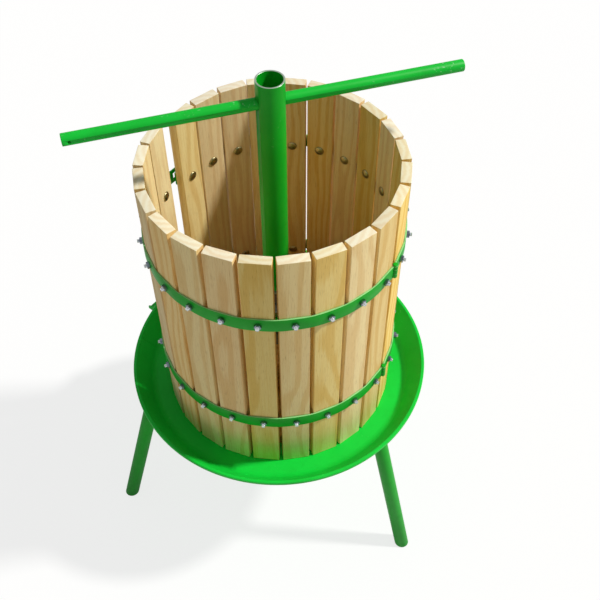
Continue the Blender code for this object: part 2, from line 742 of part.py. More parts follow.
def keeper_mesh():
    """A ring on the foot, its lip over the nut's flange."""
    bottom = FOOT_BOTTOM + FOOT_THICKNESS + GAP
    lip = FLANGE_BOTTOM + FLANGE_HEIGHT + RUNNING_GAP
    wide = around(FLANGE_RADIUS + RUNNING_GAP, TUBE_TURNS)
    narrow = around(NUT_BODY_RADIUS + RUNNING_GAP, TUBE_TURNS)
    profile = [
        (wide, bottom),
        (KEEPER_RADIUS, bottom),
        (KEEPER_RADIUS, lip + KEEPER_LIP),
        (narrow, lip + KEEPER_LIP),
        (narrow, lip),
        (wide, lip),
    ]
    return to_mesh("keeper", turned(profile, TUBE_TURNS))


# ================================================================ tube, nut and tee bar
def press_nut_mesh():
    """The nut that runs on the spindle: a flange, a round body and a spigot inside the tube."""
    bore = around(SPINDLE_RADIUS + RUNNING_GAP, TUBE_TURNS)
    spigot = TUBE_RADIUS - TUBE_WALL - GAP
    profile = [
        (bore, FLANGE_BOTTOM),
        (FLANGE_RADIUS, FLANGE_BOTTOM),
        (FLANGE_RADIUS, FLANGE_BOTTOM + FLANGE_HEIGHT),
        (NUT_BODY_RADIUS, FLANGE_BOTTOM + FLANGE_HEIGHT),
        (NUT_BODY_RADIUS, NUT_TOP),
        (spigot, NUT_TOP),
        (spigot, NUT_TOP + SPIGOT_HEIGHT),
        (bore, NUT_TOP + SPIGOT_HEIGHT),
    ]
    return to_mesh("press_nut", turned(profile, TUBE_TURNS), smooth=True)


def tube_mesh():
    """An upright tube, open at the top, with two holes for the tee bar."""
    top = BASKET_TOP + TUBE_ABOVE_BASKET
    tube = to_mesh("tube", pipe(TUBE_RADIUS, TUBE_RADIUS - TUBE_WALL, TUBE_BOTTOM, top, TUBE_TURNS))
    hole = cylinder(around(TEE_RADIUS + GAP), -PAST, PAST)
    hole = to_mesh("hole", hole)
    turn = Matrix.Rotation(TEE_ANGLE, 4, "Z") @ Matrix.Rotation(math.pi / 2, 4, "Y")
    hole.transform(Matrix.Translation((0, 0, BASKET_TOP + TEE_ABOVE_BASKET)) @ turn)
    return combine(tube, [hole], "DIFFERENCE")


def tee_mesh():
    """A plain round bar along local X, with a small hole near one end."""
    half = TEE_LENGTH / 2
    profile = [
        (0, -half),
        (TEE_RADIUS - TEE_CHAMFER, -half),
        (TEE_RADIUS, TEE_CHAMFER - half),
        (TEE_RADIUS, half - TEE_CHAMFER),
        (TEE_RADIUS - TEE_CHAMFER, half),
        (0, half),
    ]
    bar = to_mesh("bar", turned(profile, TURNS))
    bar.transform(Matrix.Rotation(math.pi / 2, 4, "Y"))
    hole = to_mesh("hole", cylinder(TEE_HOLE_RADIUS, -PAST, PAST, 8))
    hole.transform(Matrix.Translation((TEE_HOLE_INSET - half, 0, 0)) @ Matrix.Rotation(math.pi / 2, 4, "X"))
    return combine(bar, [hole], "DIFFERENCE")


# ================================================================ assembly
def build_stand(axis, green, steel):
    """Tray, spout, legs, braces and the fixed spindle with its nuts."""
    place("tray", tray_mesh(), green, axis)
    place("spout", spout_mesh(), green, axis, Matrix.Rotation(SPOUT_ANGLE, 4, "Z"))
    brace = brace_mesh()
    for side, angle in LEGS.items():
        turn = Matrix.Rotation(angle, 4, "Z")
        place("leg_" + side, leg_mesh(angle), green, axis, turn)
        place("brace_" + side, brace, green, axis, turn)
    place("hub", hub_mesh(), green, axis)
    place("spindle", spindle_mesh(), steel, axis)
    place("spindle_nut_upper", spindle_nut_mesh(BASKET_BOTTOM, UPPER_NUT_HEIGHT), steel, axis)
    place("spindle_nut_lower", spindle_nut_mesh(LOWER_NUT_BOTTOM, LOWER_NUT_HEIGHT), steel, axis)


def build_half(name, staves, right, parent, wood, metal):
    """Staves and two half hoops of one side of the basket."""
    stave = stave_mesh()
    hoop = hoop_mesh(staves, right)
    for number, frame in enumerate(staves, 1):
        place(f"stave_{name}_{number:02d}", stave, wood, parent, frame.matrix(BASKET_BOTTOM))
    for level, height in (("lower", HOOP_LOWER), ("upper", HOOP_UPPER)):
        matrix = Matrix.Translation((0, 0, BASKET_BOTTOM + height))
        place(f"hoop_{name}_{level}", hoop, metal, parent, matrix)


def build_fastenings(axis, left, metal):
    """Hinge pins, hasps and hasp pins, at both hoops."""
    pin = pin_mesh()
    hasp = hasp_mesh()
    for level, height in (("lower", HOOP_LOWER), ("upper", HOOP_UPPER)):
        middle = BASKET_BOTTOM + height
        place("hinge_pin_" + level, pin, metal, left, Matrix.Translation((*HINGE_PLACE, middle)))
        place("hasp_pin_" + level, pin, metal, left, Matrix.Translation((*HASP_PLACE, middle)))
        pivot = empty(f"hasp_{level}_turn", (*HASP_PLACE, middle), left)
        matrix = Matrix.Translation((*HASP_PLACE, middle)) @ Matrix.Rotation(HASP_FACING, 4, "Z")
        place("hasp_" + level, hasp, metal, pivot, matrix)


def build_boards(stack, wood):
    """Two half boards, and two crossed layers of battens on them."""
    board = board_mesh()
    batten = batten_mesh()
    for name, turn in (("back", 0), ("front", math.pi)):
        place("board_" + name, board, wood, stack, Matrix.Rotation(turn, 4, "Z"))
    upper = BATTEN_BOTTOM + BATTEN_HEIGHT + GAP
    layers = (
        ("batten_left", math.pi / 2, BATTEN_BOTTOM),
        ("batten_right", -math.pi / 2, BATTEN_BOTTOM),
        ("batten_back", 0, upper),
        ("batten_front", math.pi, upper),
    )
    for name, turn, height in layers:
        matrix = Matrix.Rotation(turn, 4, "Z") @ Matrix.Translation((0, BATTEN_SPACING, height))
        place(name, batten, wood, stack, matrix)


def build_foot(foot, green, steel):
    """The pressing foot and the ring that keeps the nut on it."""
    place("foot_plate", foot_mesh(), green, foot)
    place("keeper_ring", keeper_mesh(), steel, foot)


def build_tube(tube, green, steel):
    """The press tube with its nut and tee bar."""
    place("press_nut", press_nut_mesh(), steel, tube)
    place("press_tube", tube_mesh(), green, tube)
    height = BASKET_TOP + TEE_ABOVE_BASKET
    matrix = Matrix.Translation((0, 0, height)) @ Matrix.Rotation(TEE_ANGLE, 4, "Z")
    place("tee_bar", tee_mesh(), green, tube, matrix)


def main():
    clear_scene()
    green = paint("green_paint", (0.03, 0.62, 0.09), 0.35)
    wood = paint("beech", (0.62, 0.45, 0.24), 0.7)
    board = paint("board_wood", (0.55, 0.38, 0.2), 0.75)
    steel = paint("bare_steel", (0.45, 0.44, 0.42), 0.4, 1.0)
    axis = empty("press_axis", (0, 0, 0))
    axis.location = (AXIS_X, AXIS_Y, 0)
    build_stand(axis, green, steel)
    left = empty("basket_lift", (0, 0, BASKET_BOTTOM), axis)
    right = empty("half_swing", (*HINGE_PLACE, BASKET_BOTTOM), left)
    build_half("left", LEFT, False, left, wood, green)
    build_half("right", RIGHT, True, right, wood, green)
    build_fastenings(axis, left, green)
    stack = empty("boards_lift", (0, 0, BASKET_BOTTOM), axis)
    foot = empty("foot_rise", (0, 0, FOOT_BOTTOM), axis)
    tube = empty("tube_turn", (0, 0, FLANGE_BOTTOM), foot)
    build_boards(stack, board)
    build_foot(foot, green, steel)
    build_tube(tube, green, steel)


main()
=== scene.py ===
"""Looks for a basket fruit press: finishes, soft edges, threads, bolts, welds and studio.

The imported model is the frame. Every piece is placed from its boxes, corners and joints, in metres.
"""

import json
import logging
import math
from collections.abc import Sequence
from dataclasses import dataclass, field
from enum import Enum

import bmesh
import bpy
from mathutils import Matrix, Vector


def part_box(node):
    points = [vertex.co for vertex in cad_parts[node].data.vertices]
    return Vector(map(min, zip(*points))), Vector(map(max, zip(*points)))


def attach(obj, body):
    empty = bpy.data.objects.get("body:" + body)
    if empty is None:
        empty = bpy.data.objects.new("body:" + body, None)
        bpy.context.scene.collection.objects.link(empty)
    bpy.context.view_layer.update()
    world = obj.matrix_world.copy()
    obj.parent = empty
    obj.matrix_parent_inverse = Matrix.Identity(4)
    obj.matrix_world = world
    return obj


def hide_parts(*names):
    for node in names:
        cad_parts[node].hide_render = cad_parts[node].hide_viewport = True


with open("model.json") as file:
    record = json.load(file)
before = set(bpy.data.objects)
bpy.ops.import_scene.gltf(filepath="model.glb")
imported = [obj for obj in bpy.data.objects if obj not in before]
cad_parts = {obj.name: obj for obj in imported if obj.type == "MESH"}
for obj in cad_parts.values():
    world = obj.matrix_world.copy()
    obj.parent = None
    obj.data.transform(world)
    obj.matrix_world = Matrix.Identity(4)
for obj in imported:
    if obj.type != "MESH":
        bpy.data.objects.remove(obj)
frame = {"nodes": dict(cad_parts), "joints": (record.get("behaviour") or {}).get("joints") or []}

Colour = tuple[float, float, float]
Screen = tuple[int, int, int]
Point = tuple[float, float]
Shape = bmesh.types.BMesh
Mesh = bpy.types.Mesh
Material = bpy.types.Material
Socket = bpy.types.NodeSocket
LOG = logging.getLogger("press")
SEAT = 0.0003
NEAR = 0.0001
TINY = 1e-6
SIDES = ("left", "right", "back")
LEVELS = ("lower", "upper")


class Body(Enum):
    """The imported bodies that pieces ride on."""

    STAND = "stand"
    LEFT = "left_half"
    RIGHT = "right_half"
    UPPER_HASP = "upper_hasp"
    LOWER_HASP = "lower_hasp"
    BOARDS = "boards"
    FOOT = "foot"
    TUBE = "tube"


class Slot(Enum):
    """The record's material slots."""

    PAINT = "green_paint"
    STAVES = "beech"
    BOARDS = "board_wood"
    STEEL = "bare_steel"


def srgb(screen: Screen) -> Colour:
    """A colour given as screen values, in scene linear values.

    Args:
        screen: Red, green and blue from 0 to 255.

    Returns:
        The same colour, linear.
    """
    linear = []
    for value in screen:
        share = value / 255
        linear.append(share / 12.92 if share <= 0.04045 else ((share + 0.055) / 1.055) ** 2.4)
    return tuple(linear)


# --- finishes
class Graph:
    """The nodes of a material, or of the surround, while they are being made."""

    def __init__(self, owner: Material | bpy.types.World, shader: str = "Principled BSDF") -> None:
        """Start on a new material or world.

        Args:
            owner: What the nodes belong to.
            shader: The name of its shader.
        """
        owner.use_nodes = True
        self.owner = owner
        self.nodes = owner.node_tree.nodes
        self.shader = self.nodes[shader]

    def feed(self, socket: Socket, value: object) -> None:
        """Link a socket to another, or set its value.

        Args:
            socket: The input to fill.
            value: An output socket, a number or a colour.
        """
        if isinstance(value, Socket):
            self.owner.node_tree.links.new(value, socket)
        elif isinstance(value, tuple) and socket.type == "RGBA":
            socket.default_value = (*value, 1.0)
        else:
            socket.default_value = value

    def add(
        self, kind: str, inputs: dict[str | int, object], out: str | int = 0, **settings: object
    ) -> Socket:
        """Add a node.

        Args:
            kind: The node's type, without its prefix.
            inputs: Values or sockets by the input's name or number.
            out: The output to return.
            **settings: The node's own properties.

        Returns:
            The chosen output.
        """
        node = self.nodes.new("ShaderNode" + kind)
        for key, value in settings.items():
            setattr(node, key, value)
        for key, value in inputs.items():
            self.feed(node.inputs[key], value)
        return node.outputs[out]

    def math(self, operation: str, first: object, second: object = 0.0) -> Socket:
        """An operation on two numbers."""
        return self.add("Math", {0: first, 1: second}, operation=operation)

    def times(self, first: object, second: object) -> Socket:
        """A product of two numbers."""
        return self.math("MULTIPLY", first, second)

    def plus(self, first: object, second: object) -> Socket:
        """A sum of two numbers."""
        return self.math("ADD", first, second)

    def vector(self, operation: str, inputs: dict[str | int, object]) -> Socket:
        """An operation on vectors."""
        return self.add("VectorMath", inputs, operation=operation)

    def mix(self, share: object, first: object, second: object) -> Socket:
        """A mix of two colours."""
        return self.add("Mix", {0: share, 6: first, 7: second}, out=2, data_type="RGBA")

    def noise(self, place: object, scale: float, detail: float = 2.0) -> Socket:
        """Smooth noise from 0 to 1."""
        return self.add("TexNoise", {"Vector": place, "Scale": scale, "Detail": detail})

    def stretched(self, place: object, scale: tuple[float, float, float]) -> Socket:
        """A place, scaled along its own axes."""
        return self.add("Mapping", {"Vector": place, "Scale": Vector(scale)})

    def between(self, value: object, low: float, high: float) -> Socket:
        """How far a value lies between two limits, kept from 0 to 1."""
        inputs = {"Value": value, "From Min": low, "From Max": high}
        return self.add("MapRange", inputs, interpolation_type="SMOOTHSTEP")

    def stained(self, colour: object, stain: Colour, where: object, limits: Point, share: float) -> Socket:
        """A colour with patches of another.

        Args:
            colour: The colour under the patches.
            stain: The colour of the patches.
            where: A value that is high in the patches.
            limits: Where the patches begin and where they are full.
            share: How much a full patch hides.

        Returns:
            The colour.
        """
        return self.mix(self.times(self.between(where, *limits), share), colour, stain)

    def seen(self, shine: float) -> Socket:
        """1 for what is seen directly, and less for what shows in a shiny surface."""
        shiny = self.times(self.add("LightPath", {}, out="Is Glossy Ray"), shine)
        return self.math("MAXIMUM", self.add("LightPath", {}, out="Is Camera Ray"), shiny)

    def bump(self, height: object, depth: float, strength: float) -> None:
        """Give the shader a bump of this depth in metres."""
        inputs = {"Height": height, "Distance": depth, "Strength": strength}
        self.feed(self.shader.inputs["Normal"], self.add("Bump", inputs))

    def surface(self, **inputs: object) -> Material:
        """Fill the shader's sockets.

        Args:
            **inputs: Values or sockets by the socket's name.

        Returns:
            What the nodes belong to.
        """
        for key, value in inputs.items():
            self.feed(self.shader.inputs[key.replace("_", " ")], value)
        return self.owner


@dataclass(frozen=True)
class PlanedWood:
    """Planed hardwood, its grain along the piece's own Z."""

    name: str
    pale: Screen
    warm: Screen
    dark: Screen
    # The sawn ends' colour, paler than the sides as a painted highlight.
    end: Screen
    ring_width: float = 0.0105
    figure: float = 0.56
    roughness: float = 0.6

    def make(self) -> Material:
        """Slow growth rings, fibres, pores, patches and end grain, the end grain painted paler as a painted
        highlight.

        Returns:
            The material.
        """
        graph = Graph(bpy.data.materials.new(self.name))
        place = graph.add("TexCoord", {}, out="Object")
        chance = graph.add("ObjectInfo", {}, out="Random")
        other = graph.math("FRACT", graph.times(chance, 17.3))
        third = graph.math("FRACT", graph.times(chance, 41.9))
        heart = graph.plus(0.018, graph.times(chance, 0.05))
        aside = graph.times(graph.math("SUBTRACT", other, 0.5), 0.06)
        shift = graph.add("CombineXYZ", {0: heart, 1: aside, 2: graph.times(third, 9.0)})
        grain = graph.vector("ADD", {0: place, 1: shift})
        rings = self.rings(graph, grain)
        fibres = graph.noise(graph.stretched(grain, (900.0, 900.0, 14.0)), 1.0, 3.0)
        pores = graph.noise(graph.stretched(grain, (1700.0, 1700.0, 60.0)), 1.0, 1.0)
        broad = graph.noise(graph.stretched(grain, (30.0, 30.0, 2.2)), 1.0, 2.0)
        warm = srgb(self.warm)
        colour = graph.stained(srgb(self.pale), warm, rings, (0.35, 0.95), self.figure)
        colour = graph.stained(colour, warm, broad, (0.48, 0.75), 0.4)
        colour = graph.stained(colour, warm, fibres, (0.4, 0.75), 0.4)
        colour = graph.stained(colour, srgb(self.dark), pores, (0.58, 0.74), 0.34)
        colour = graph.mix(self.sawn(graph), colour, self.end_grain_and_highlight(graph, place, rings))
        tint = {
            "Color": colour,
            "Hue": graph.plus(0.494, graph.times(chance, 0.014)),
            "Value": graph.plus(0.88, graph.times(other, 0.17)),
            "Saturation": graph.plus(0.84, graph.times(third, 0.34)),
        }
        colour = graph.add("HueSaturation", tint)
        rough = graph.plus(self.roughness, graph.times(fibres, 0.15))
        graph.bump(graph.plus(fibres, graph.times(pores, -0.5)), 0.0003, 0.3)
        return graph.surface(Base_Color=colour, Roughness=rough, Specular_IOR_Level=0.25)

    def rings(self, graph: Graph, grain: Socket) -> Socket:
        """Growth rings about a heart that wanders along the board.

        Args:
            graph: The material's graph.
            grain: The place in the log.

        Returns:
            1 in the late wood and 0 in the early wood.
        """
        slow = {"Vector": graph.stretched(grain, (5.0, 5.0, 2.4)), "Scale": 1.0}
        wander = graph.add("TexNoise", slow, out="Color")
        offset = graph.vector("SUBTRACT", {0: wander, 1: (0.5, 0.5, 0.5)})
        offset = graph.vector("SCALE", {0: offset, "Scale": 0.055})
        bent = graph.vector("ADD", {0: grain, 1: offset})
        inputs = {
            "Vector": graph.stretched(bent, (1.0, 1.0, 0.02)),
            "Scale": 0.314 / self.ring_width,
            "Distortion": 1.6,
            "Detail": 2.0,
            "Detail Scale": 6.0,
        }
        return graph.add("TexWave", inputs, out=1, wave_type="RINGS", rings_direction="Z")

    def sawn(self, graph: Graph) -> Socket:
        """1 on the sawn ends and 0 along the board."""
        facing = graph.add("SeparateXYZ", {0: graph.add("TexCoord", {}, out="Normal")}, out=2)
        return graph.between(graph.math("ABSOLUTE", facing), 0.6, 0.8)

    def end_grain_and_highlight(self, graph: Graph, place: Socket, rings: Socket) -> Socket:
        """The colour of a sawn end, with faint rings and specks, paler as a painted highlight of the lit
        tops.

        Args:
            graph: The material's graph.
            place: The piece's own coordinates.
            rings: The growth rings.

        Returns:
            The colour.
        """
        speckle = graph.noise(place, 900.0, 2.0)
        colour = graph.mix(graph.times(rings, 0.3), srgb(self.end), srgb(self.warm))
        return graph.stained(colour, srgb(self.warm), speckle, (0.55, 0.75), 0.2)


@dataclass(frozen=True)
class Enamel:
    """Brushed-on gloss paint over steel, a little uneven, with small scuffs."""

    name: str
    colour: Screen
    thin: Screen
    scuff: Screen
    roughness: float = 0.36
    wear: float = 0.0

    def make(self) -> Material:
        """Mottled colour, orange-peel bump and sparse scuffs, with more of them where wear is higher.

        Returns:
            The material.
        """
        graph = Graph(bpy.data.materials.new(self.name))
        place = graph.add("TexCoord", {}, out="Object")
        broad = graph.noise(place, 9.0, 3.0)
        fine = graph.noise(place, 70.0, 4.0)
        peel = graph.noise(place, 420.0, 1.0)
        worn = graph.noise(place, 260.0, 5.0)
        where = graph.noise(place, 14.0, 2.0)
        colour = graph.stained(srgb(self.colour), srgb(self.thin), broad, (0.35, 0.75), 0.45)
        colour = graph.stained(colour, srgb(self.thin), fine, (0.5, 0.8), 0.25)
        spots = graph.between(worn, 0.66 - self.wear, 0.72 - self.wear)
        marks = graph.times(spots, graph.between(where, 0.55 - self.wear, 0.7 - self.wear))
        colour = graph.mix(graph.times(marks, 0.7), colour, srgb(self.scuff))
        rough = graph.plus(self.roughness, graph.times(fine, 0.16))
        rough = graph.plus(rough, graph.times(marks, 0.25))
        graph.bump(graph.plus(peel, graph.times(fine, 1.5)), 0.0003, 0.12)
        return graph.surface(Base_Color=colour, Roughness=rough, Specular_IOR_Level=0.25)


@dataclass(frozen=True)
class PlainMetal:
    """Bare or plated steel, with a slightly patchy sheen."""

    name: str
    colour: Screen
    stain: Screen
    roughness: float = 0.3
    turning: float = 0.0

    def make(self) -> Material:
        """Patchy colour and roughness, and fine turning marks where it was turned.

        Returns:
            The material.
        """
        graph = Graph(bpy.data.materials.new(self.name))
        place = graph.add("TexCoord", {}, out="Object")
        cloud = graph.noise(place, 120.0, 3.0)
        # On the nuts the dark patch colour stands for painted reflections. On the other metals the patches
        # are uneven colour.
        colour = graph.stained(srgb(self.colour), srgb(self.stain), cloud, (0.4, 0.75), 0.55)
        rough = graph.plus(self.roughness, graph.times(cloud, 0.18))
        if self.turning:
            marks = graph.noise(graph.stretched(place, (1.0, 1.0, self.turning)), 1.0, 2.0)
        else:
            marks = graph.noise(place, 700.0, 2.0)
        graph.bump(marks, 0.0002, 0.15)
        return graph.surface(Base_Color=colour, Roughness=rough, Metallic=1.0)


@dataclass(frozen=True)
class Finishes:
    """Every finish on the press, made once."""

    tray: Material
    bar: Material
    paint: Material
    edge: Material
    staves: Material
    boards: Material
    zinc: Material
    tips: Material
    heads: Material
    steel: Material
    rim: Material

    @staticmethod
    def mix_all() -> "Finishes":
        """Make every finish, in the order of the fields.

        Returns:
            All of them.
        """
        recipes = (
            # One green paint in three copies. The tray and tee bar get brighter copies as painted sunlight,
            # and the tee bar's copy also has more scuffs. The hoops, hasps, pins, legs, braces, hub, foot
            # and tube get a darker copy as painted shade.
            Enamel("apple_green_enamel", (16, 212, 64), (10, 184, 44), (130, 214, 140)),
            Enamel("handled_green_enamel", (14, 202, 58), (8, 166, 38), (186, 224, 190), wear=0.045),
            Enamel("deep_green_enamel", (6, 178, 34), (4, 146, 20), (110, 190, 116), 0.34),
            # Pale enamel for the hoops' upward faces: a painted highlight on the lit tops, together with
            # rubbed paint on the cut edge.
            Enamel("rubbed_green_edge", (150, 214, 142), (96, 192, 96), (206, 228, 196), 0.42),
            # The sawn-end colours are paler as a painted highlight of the sunlit tops.
            PlanedWood("planed_ash", (250, 224, 160), (230, 186, 110), (164, 112, 54), (252, 243, 214)),
            PlanedWood("planed_beech", (214, 176, 124), (188, 140, 88), (128, 86, 48), (222, 188, 138)),
            # The nuts' zinc. Its strong dark patches are painted reflections.
            PlainMetal("blued_zinc", (150, 162, 174), (44, 52, 60), 0.12),
            # The thread ends' zinc: a brighter copy of the nut zinc, as a painted highlight.
            PlainMetal("bright_zinc", (240, 244, 248), (170, 180, 190), 0.12),
            # The bolt heads' zinc, tinted warm as a painted reflection of the wood round them.
            PlainMetal("yellow_zinc", (178, 170, 132), (108, 102, 74), 0.22),
            PlainMetal("oiled_steel", (160, 158, 154), (100, 96, 90), 0.28, 900.0),
            PlainMetal("worn_rim", (206, 224, 206), (150, 190, 150), 0.34),
        )
        return Finishes(*(recipe.make() for recipe in recipes))


# --- shapes
def finished(shape: Shape, name: str, angle: float = 32.0) -> Mesh:
    """Turn a bmesh into a smooth-shaded mesh with sharp edges past an angle.

    Args:
        shape: The shape, which is used up.
        name: The mesh's name.
        angle: Edges sharper than this stay sharp, in degrees.

    Returns:
        The mesh.
    """
    bmesh.ops.recalc_face_normals(shape, faces=shape.faces)
    mesh = bpy.data.meshes.new(name)
    shape.to_mesh(mesh)
    shape.free()
    mesh.shade_smooth()
    mesh.set_sharp_from_angle(angle=math.radians(angle))
    return mesh


def eased(outline: Sequence[Point], radius: float, closed: bool = True, steps: int = 4) -> list[Point]:
    """Round the corners of an outline.

    Args:
        outline: Corner points.
        radius: Largest distance that is cut from a corner along each side.
        closed: Whether the last point joins the first.
        steps: Points on each rounded corner, less one.

    Returns:
        The points of the rounded outline.
    """
    points = [Vector(point) for point in outline]
    result = []
    for number, corner in enumerate(points):
        if not closed and number in (0, len(points) - 1):
            result.append(tuple(corner))
            continue
        before = points[number - 1] - corner
        after = points[(number + 1) % len(points)] - corner
        reach = min(radius, before.length * 0.45, after.length * 0.45)
        start = corner + before.normalized() * reach
        end = corner + after.normalized() * reach
        for step in range(steps + 1):
            share = step / steps
            middle = start.lerp(corner, share).lerp(corner.lerp(end, share), share)
            result.append(tuple(middle))
    return result


def circle(radius: float, sides: int) -> list[Point]:
    """Points round a circle, from +X."""
    turns = [2 * math.pi * step / sides for step in range(sides)]
    return [(radius * math.cos(turn), radius * math.sin(turn)) for turn in turns]


def skin(rings: Sequence[Sequence[Sequence[float]]], closed: bool = True) -> Shape:
    """Join rings of points with faces.

    Args:
        rings: Rings with equally many points. A ring of one point is a tip.
        closed: Whether the last ring joins the first.

    Returns:
        The shape.
    """
    shape = bmesh.new()
    sides = max(len(ring) for ring in rings)
    rows = []
    for ring in rings:
        row = [shape.verts.new(place) for place in ring]
        rows.append(row * (sides // len(row)))
    pairs = list(zip(rows, rows[1:]))
    if closed:
        pairs.append((rows[-1], rows[0]))
    for low, high in pairs:
        for step in range(sides):
            after = (step + 1) % sides
            face = dict.fromkeys((low[step], low[after], high[after], high[step]))
            if len(face) > 2:
                shape.faces.new(list(face))
    return shape


def lathe(profile: Sequence[Point], sides: int = 64, closed: bool = True) -> Shape:
    """Turn a profile of (radius, height) about Z.

    Args:
        profile: Points of the profile. A radius of 0 is a point on the axis.
        sides: Steps round the turn.
        closed: Whether the profile's last point joins its first.

    Returns:
        The turned shape.
    """
    rings = []
    for radius, height in profile:
        places = circle(radius, sides) if radius > TINY else [(0.0, 0.0)]
        rings.append([(x, y, height) for x, y in places])
    return skin(rings, closed)


def rod(radius: float, low: float, high: float) -> list[Point]:
    """The open profile of a rod from one height to another."""
    return [(0.0, low), (radius, low), (radius, high), (0.0, high)]


def sleeve(bore: float, radius: float, ends: Point, ease: float, sides: int, steps: int = 3) -> Shape:
    """A tube about Z with eased edges.

    Args:
        bore: Radius of the hole.
        radius: Outer radius.
        ends: Heights of its ends.
        ease: Largest distance cut from its edges.
        sides: Steps round it.
        steps: Points on each eased edge, less one.

    Returns:
        The tube.
    """
    low, high = ends
    profile = [(bore, low), (radius, low), (radius, high), (bore, high)]
    return lathe(eased(profile, ease, steps=steps), sides)


def hexagon_nut(flat: float, height: float, bore: float, steps: int = 48) -> Shape:
    """A hexagon nut on Z with turned-off corners.

    Args:
        flat: Distance from the centre to a flat.
        height: The nut's height.
        bore: Radius of the hole.
        steps: Points round it.

    Returns:
        The nut, its lower face at 0.
    """
    columns = []
    rim = flat * 0.985
    for step in range(steps):
        angle = 2 * math.pi * step / steps
        off = (angle + math.pi / 6) % (math.pi / 3) - math.pi / 6
        reach = flat / math.cos(off)
        drop = (reach - flat) * 0.6 + flat * 0.02
        places = ((bore, 0), (rim, 0), (reach, drop), (reach, height - drop), (rim, height), (bore, height))
        x, y = math.cos(angle), math.sin(angle)
        columns.append([(radius * x, radius * y, level) for radius, level in places])
    return skin(list(zip(*columns)))


def slab(outline: Sequence[Point], bottom: float, top: float) -> Shape:
    """Raise a flat outline from one height to another.

    Args:
        outline: The outline's corners.
        bottom: The lower height.
        top: The upper height.

    Returns:
        The raised shape.
    """
    shape = bmesh.new()
    base = shape.faces.new([shape.verts.new((x, y, bottom)) for x, y in outline])
    raised = bmesh.ops.extrude_face_region(shape, geom=[base])
    tops = [item for item in raised["geom"] if isinstance(item, bmesh.types.BMVert)]
    bmesh.ops.translate(shape, verts=tops, vec=(0, 0, top - bottom))
    return shape


def block(low: Sequence[float], high: Sequence[float]) -> Shape:
    """A box between two corners."""
    outline = [(low[0], low[1]), (high[0], low[1]), (high[0], high[1]), (low[0], high[1])]
    return slab(outline, low[2], high[2])


def soften(shape: Shape, width: float, steps: int = 2, angle: float = 30.0) -> Shape:
    """Bevel the edges of a shape that are sharper than an angle.

    Args:
        shape: The shape to change.
        width: Width of the bevel.
        steps: Segments across it.
        angle: Edges sharper than this are bevelled, in degrees.

    Returns:
        The same shape.
    """
    limit = math.radians(angle)
    edges = [edge for edge in shape.edges if edge.is_manifold and edge.calc_face_angle(0) > limit]
    bmesh.ops.bevel(
        shape, geom=edges, offset=width, segments=steps, profile=0.6, affect="EDGES", clamp_overlap=True
    )
    return shape


def gathered(shapes: Sequence[Shape]) -> Shape:
    """Several shapes as one, each left as it is.

    Args:
        shapes: The shapes, which are used up.

    Returns:
        All of them in one.
    """
    whole = bmesh.new()
    for shape in shapes:
        mesh = bpy.data.meshes.new("part")
        shape.to_mesh(mesh)
        shape.free()
        whole.from_mesh(mesh)
        bpy.data.meshes.remove(mesh)
    return whole


def moved(shape: Shape, matrix: Matrix) -> Shape:
    """Move a shape and return it."""
    shape.transform(matrix)
    return shape


def weld(path: Sequence[Vector], radius: float, closed: bool = True) -> Shape:
    """A rippled weld bead along a path.

    Args:
        path: Points along the seam.
        radius: Radius of the bead.
        closed: Whether the bead runs round.

    Returns:
        The bead.
    """
    sides = 8
    rings = []
    count = len(path)
    for number, place in enumerate(path):
        ahead = path[(number + 1) % count] if closed or number < count - 1 else place
        behind = path[number - 1] if closed or number else place
        forward = (ahead - behind).normalized()
        side = forward.cross(Vector((0, 0, 1)))
        side = side.normalized() if side.length > NEAR else Vector((1, 0, 0))
        up = side.cross(forward)
        swell = radius * (1.0 + 0.16 * math.sin(number * 2.4) + 0.07 * math.sin(number * 5.1))
        rings.append([place + side * x + up * y for x, y in circle(swell, sides)])
    shape = skin(rings, closed)
    if not closed:
        shape.verts.ensure_lookup_table()
        shape.faces.new(shape.verts[:sides])
        shape.faces.new(shape.verts[-sides:])
    return shape


def drilled(mesh: Mesh, radius: float, sides: int, place: Matrix) -> Mesh:
    """Cut a round hole right through a mesh.

    Args:
        mesh: The mesh to drill.
        radius: The hole's radius.
        sides: Steps round it.
        place: The middle and the direction of the drill, in the mesh's own frame.

    Returns:
        A new mesh with the hole.
    """
    drill_half = 0.05
    cutter = finished(lathe(rod(radius, -drill_half, drill_half), sides, closed=False), "drill")
    blank, drill = (bpy.data.objects.new(item.name, item) for item in (mesh, cutter))
    drill.matrix_world = place
    for item in (blank, drill):
        bpy.context.scene.collection.objects.link(item)
    cut = blank.modifiers.new("hole", "BOOLEAN")
    cut.operation = "DIFFERENCE"
    cut.object = drill
    bpy.context.view_layer.update()
    shown = blank.evaluated_get(bpy.context.evaluated_depsgraph_get())
    result = bpy.data.meshes.new_from_object(shown)
    for item in (blank, drill):
        bpy.data.objects.remove(item, do_unlink=True)
    return result


def add_piece(
    name: str,
    mesh: Mesh,
    finish: Material,
    body: Body,
    place: Matrix | None = None,
    stands_for: Sequence[str] = (),
) -> bpy.types.Object:
    """Add a piece, make it ride on a body and log it.

    Args:
        name: The piece's name.
        mesh: Its mesh, which may be shared.
        finish: Its material, unless the mesh has materials already.
        body: The body it rides on.
        place: Where its mesh goes.
        stands_for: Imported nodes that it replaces.

    Returns:
        The piece.
    """
    if not mesh.materials:
        mesh.materials.append(finish)
    piece = bpy.data.objects.new(name, mesh)
    bpy.context.scene.collection.objects.link(piece)
    if place is not None:
        piece.matrix_world = place
    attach(piece, body.value)
    if stands_for:
        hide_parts(*stands_for)
    LOG.info("%s rides on %s", name, body.value)
    return piece


# --- places in the frame
def joint_place(name: str) -> Vector:
    """Where a hinge's axis is, by the joint's name."""
    joint = next(joint for joint in frame["joints"] if joint["name"] == name)
    return Vector(joint["pos_m"])


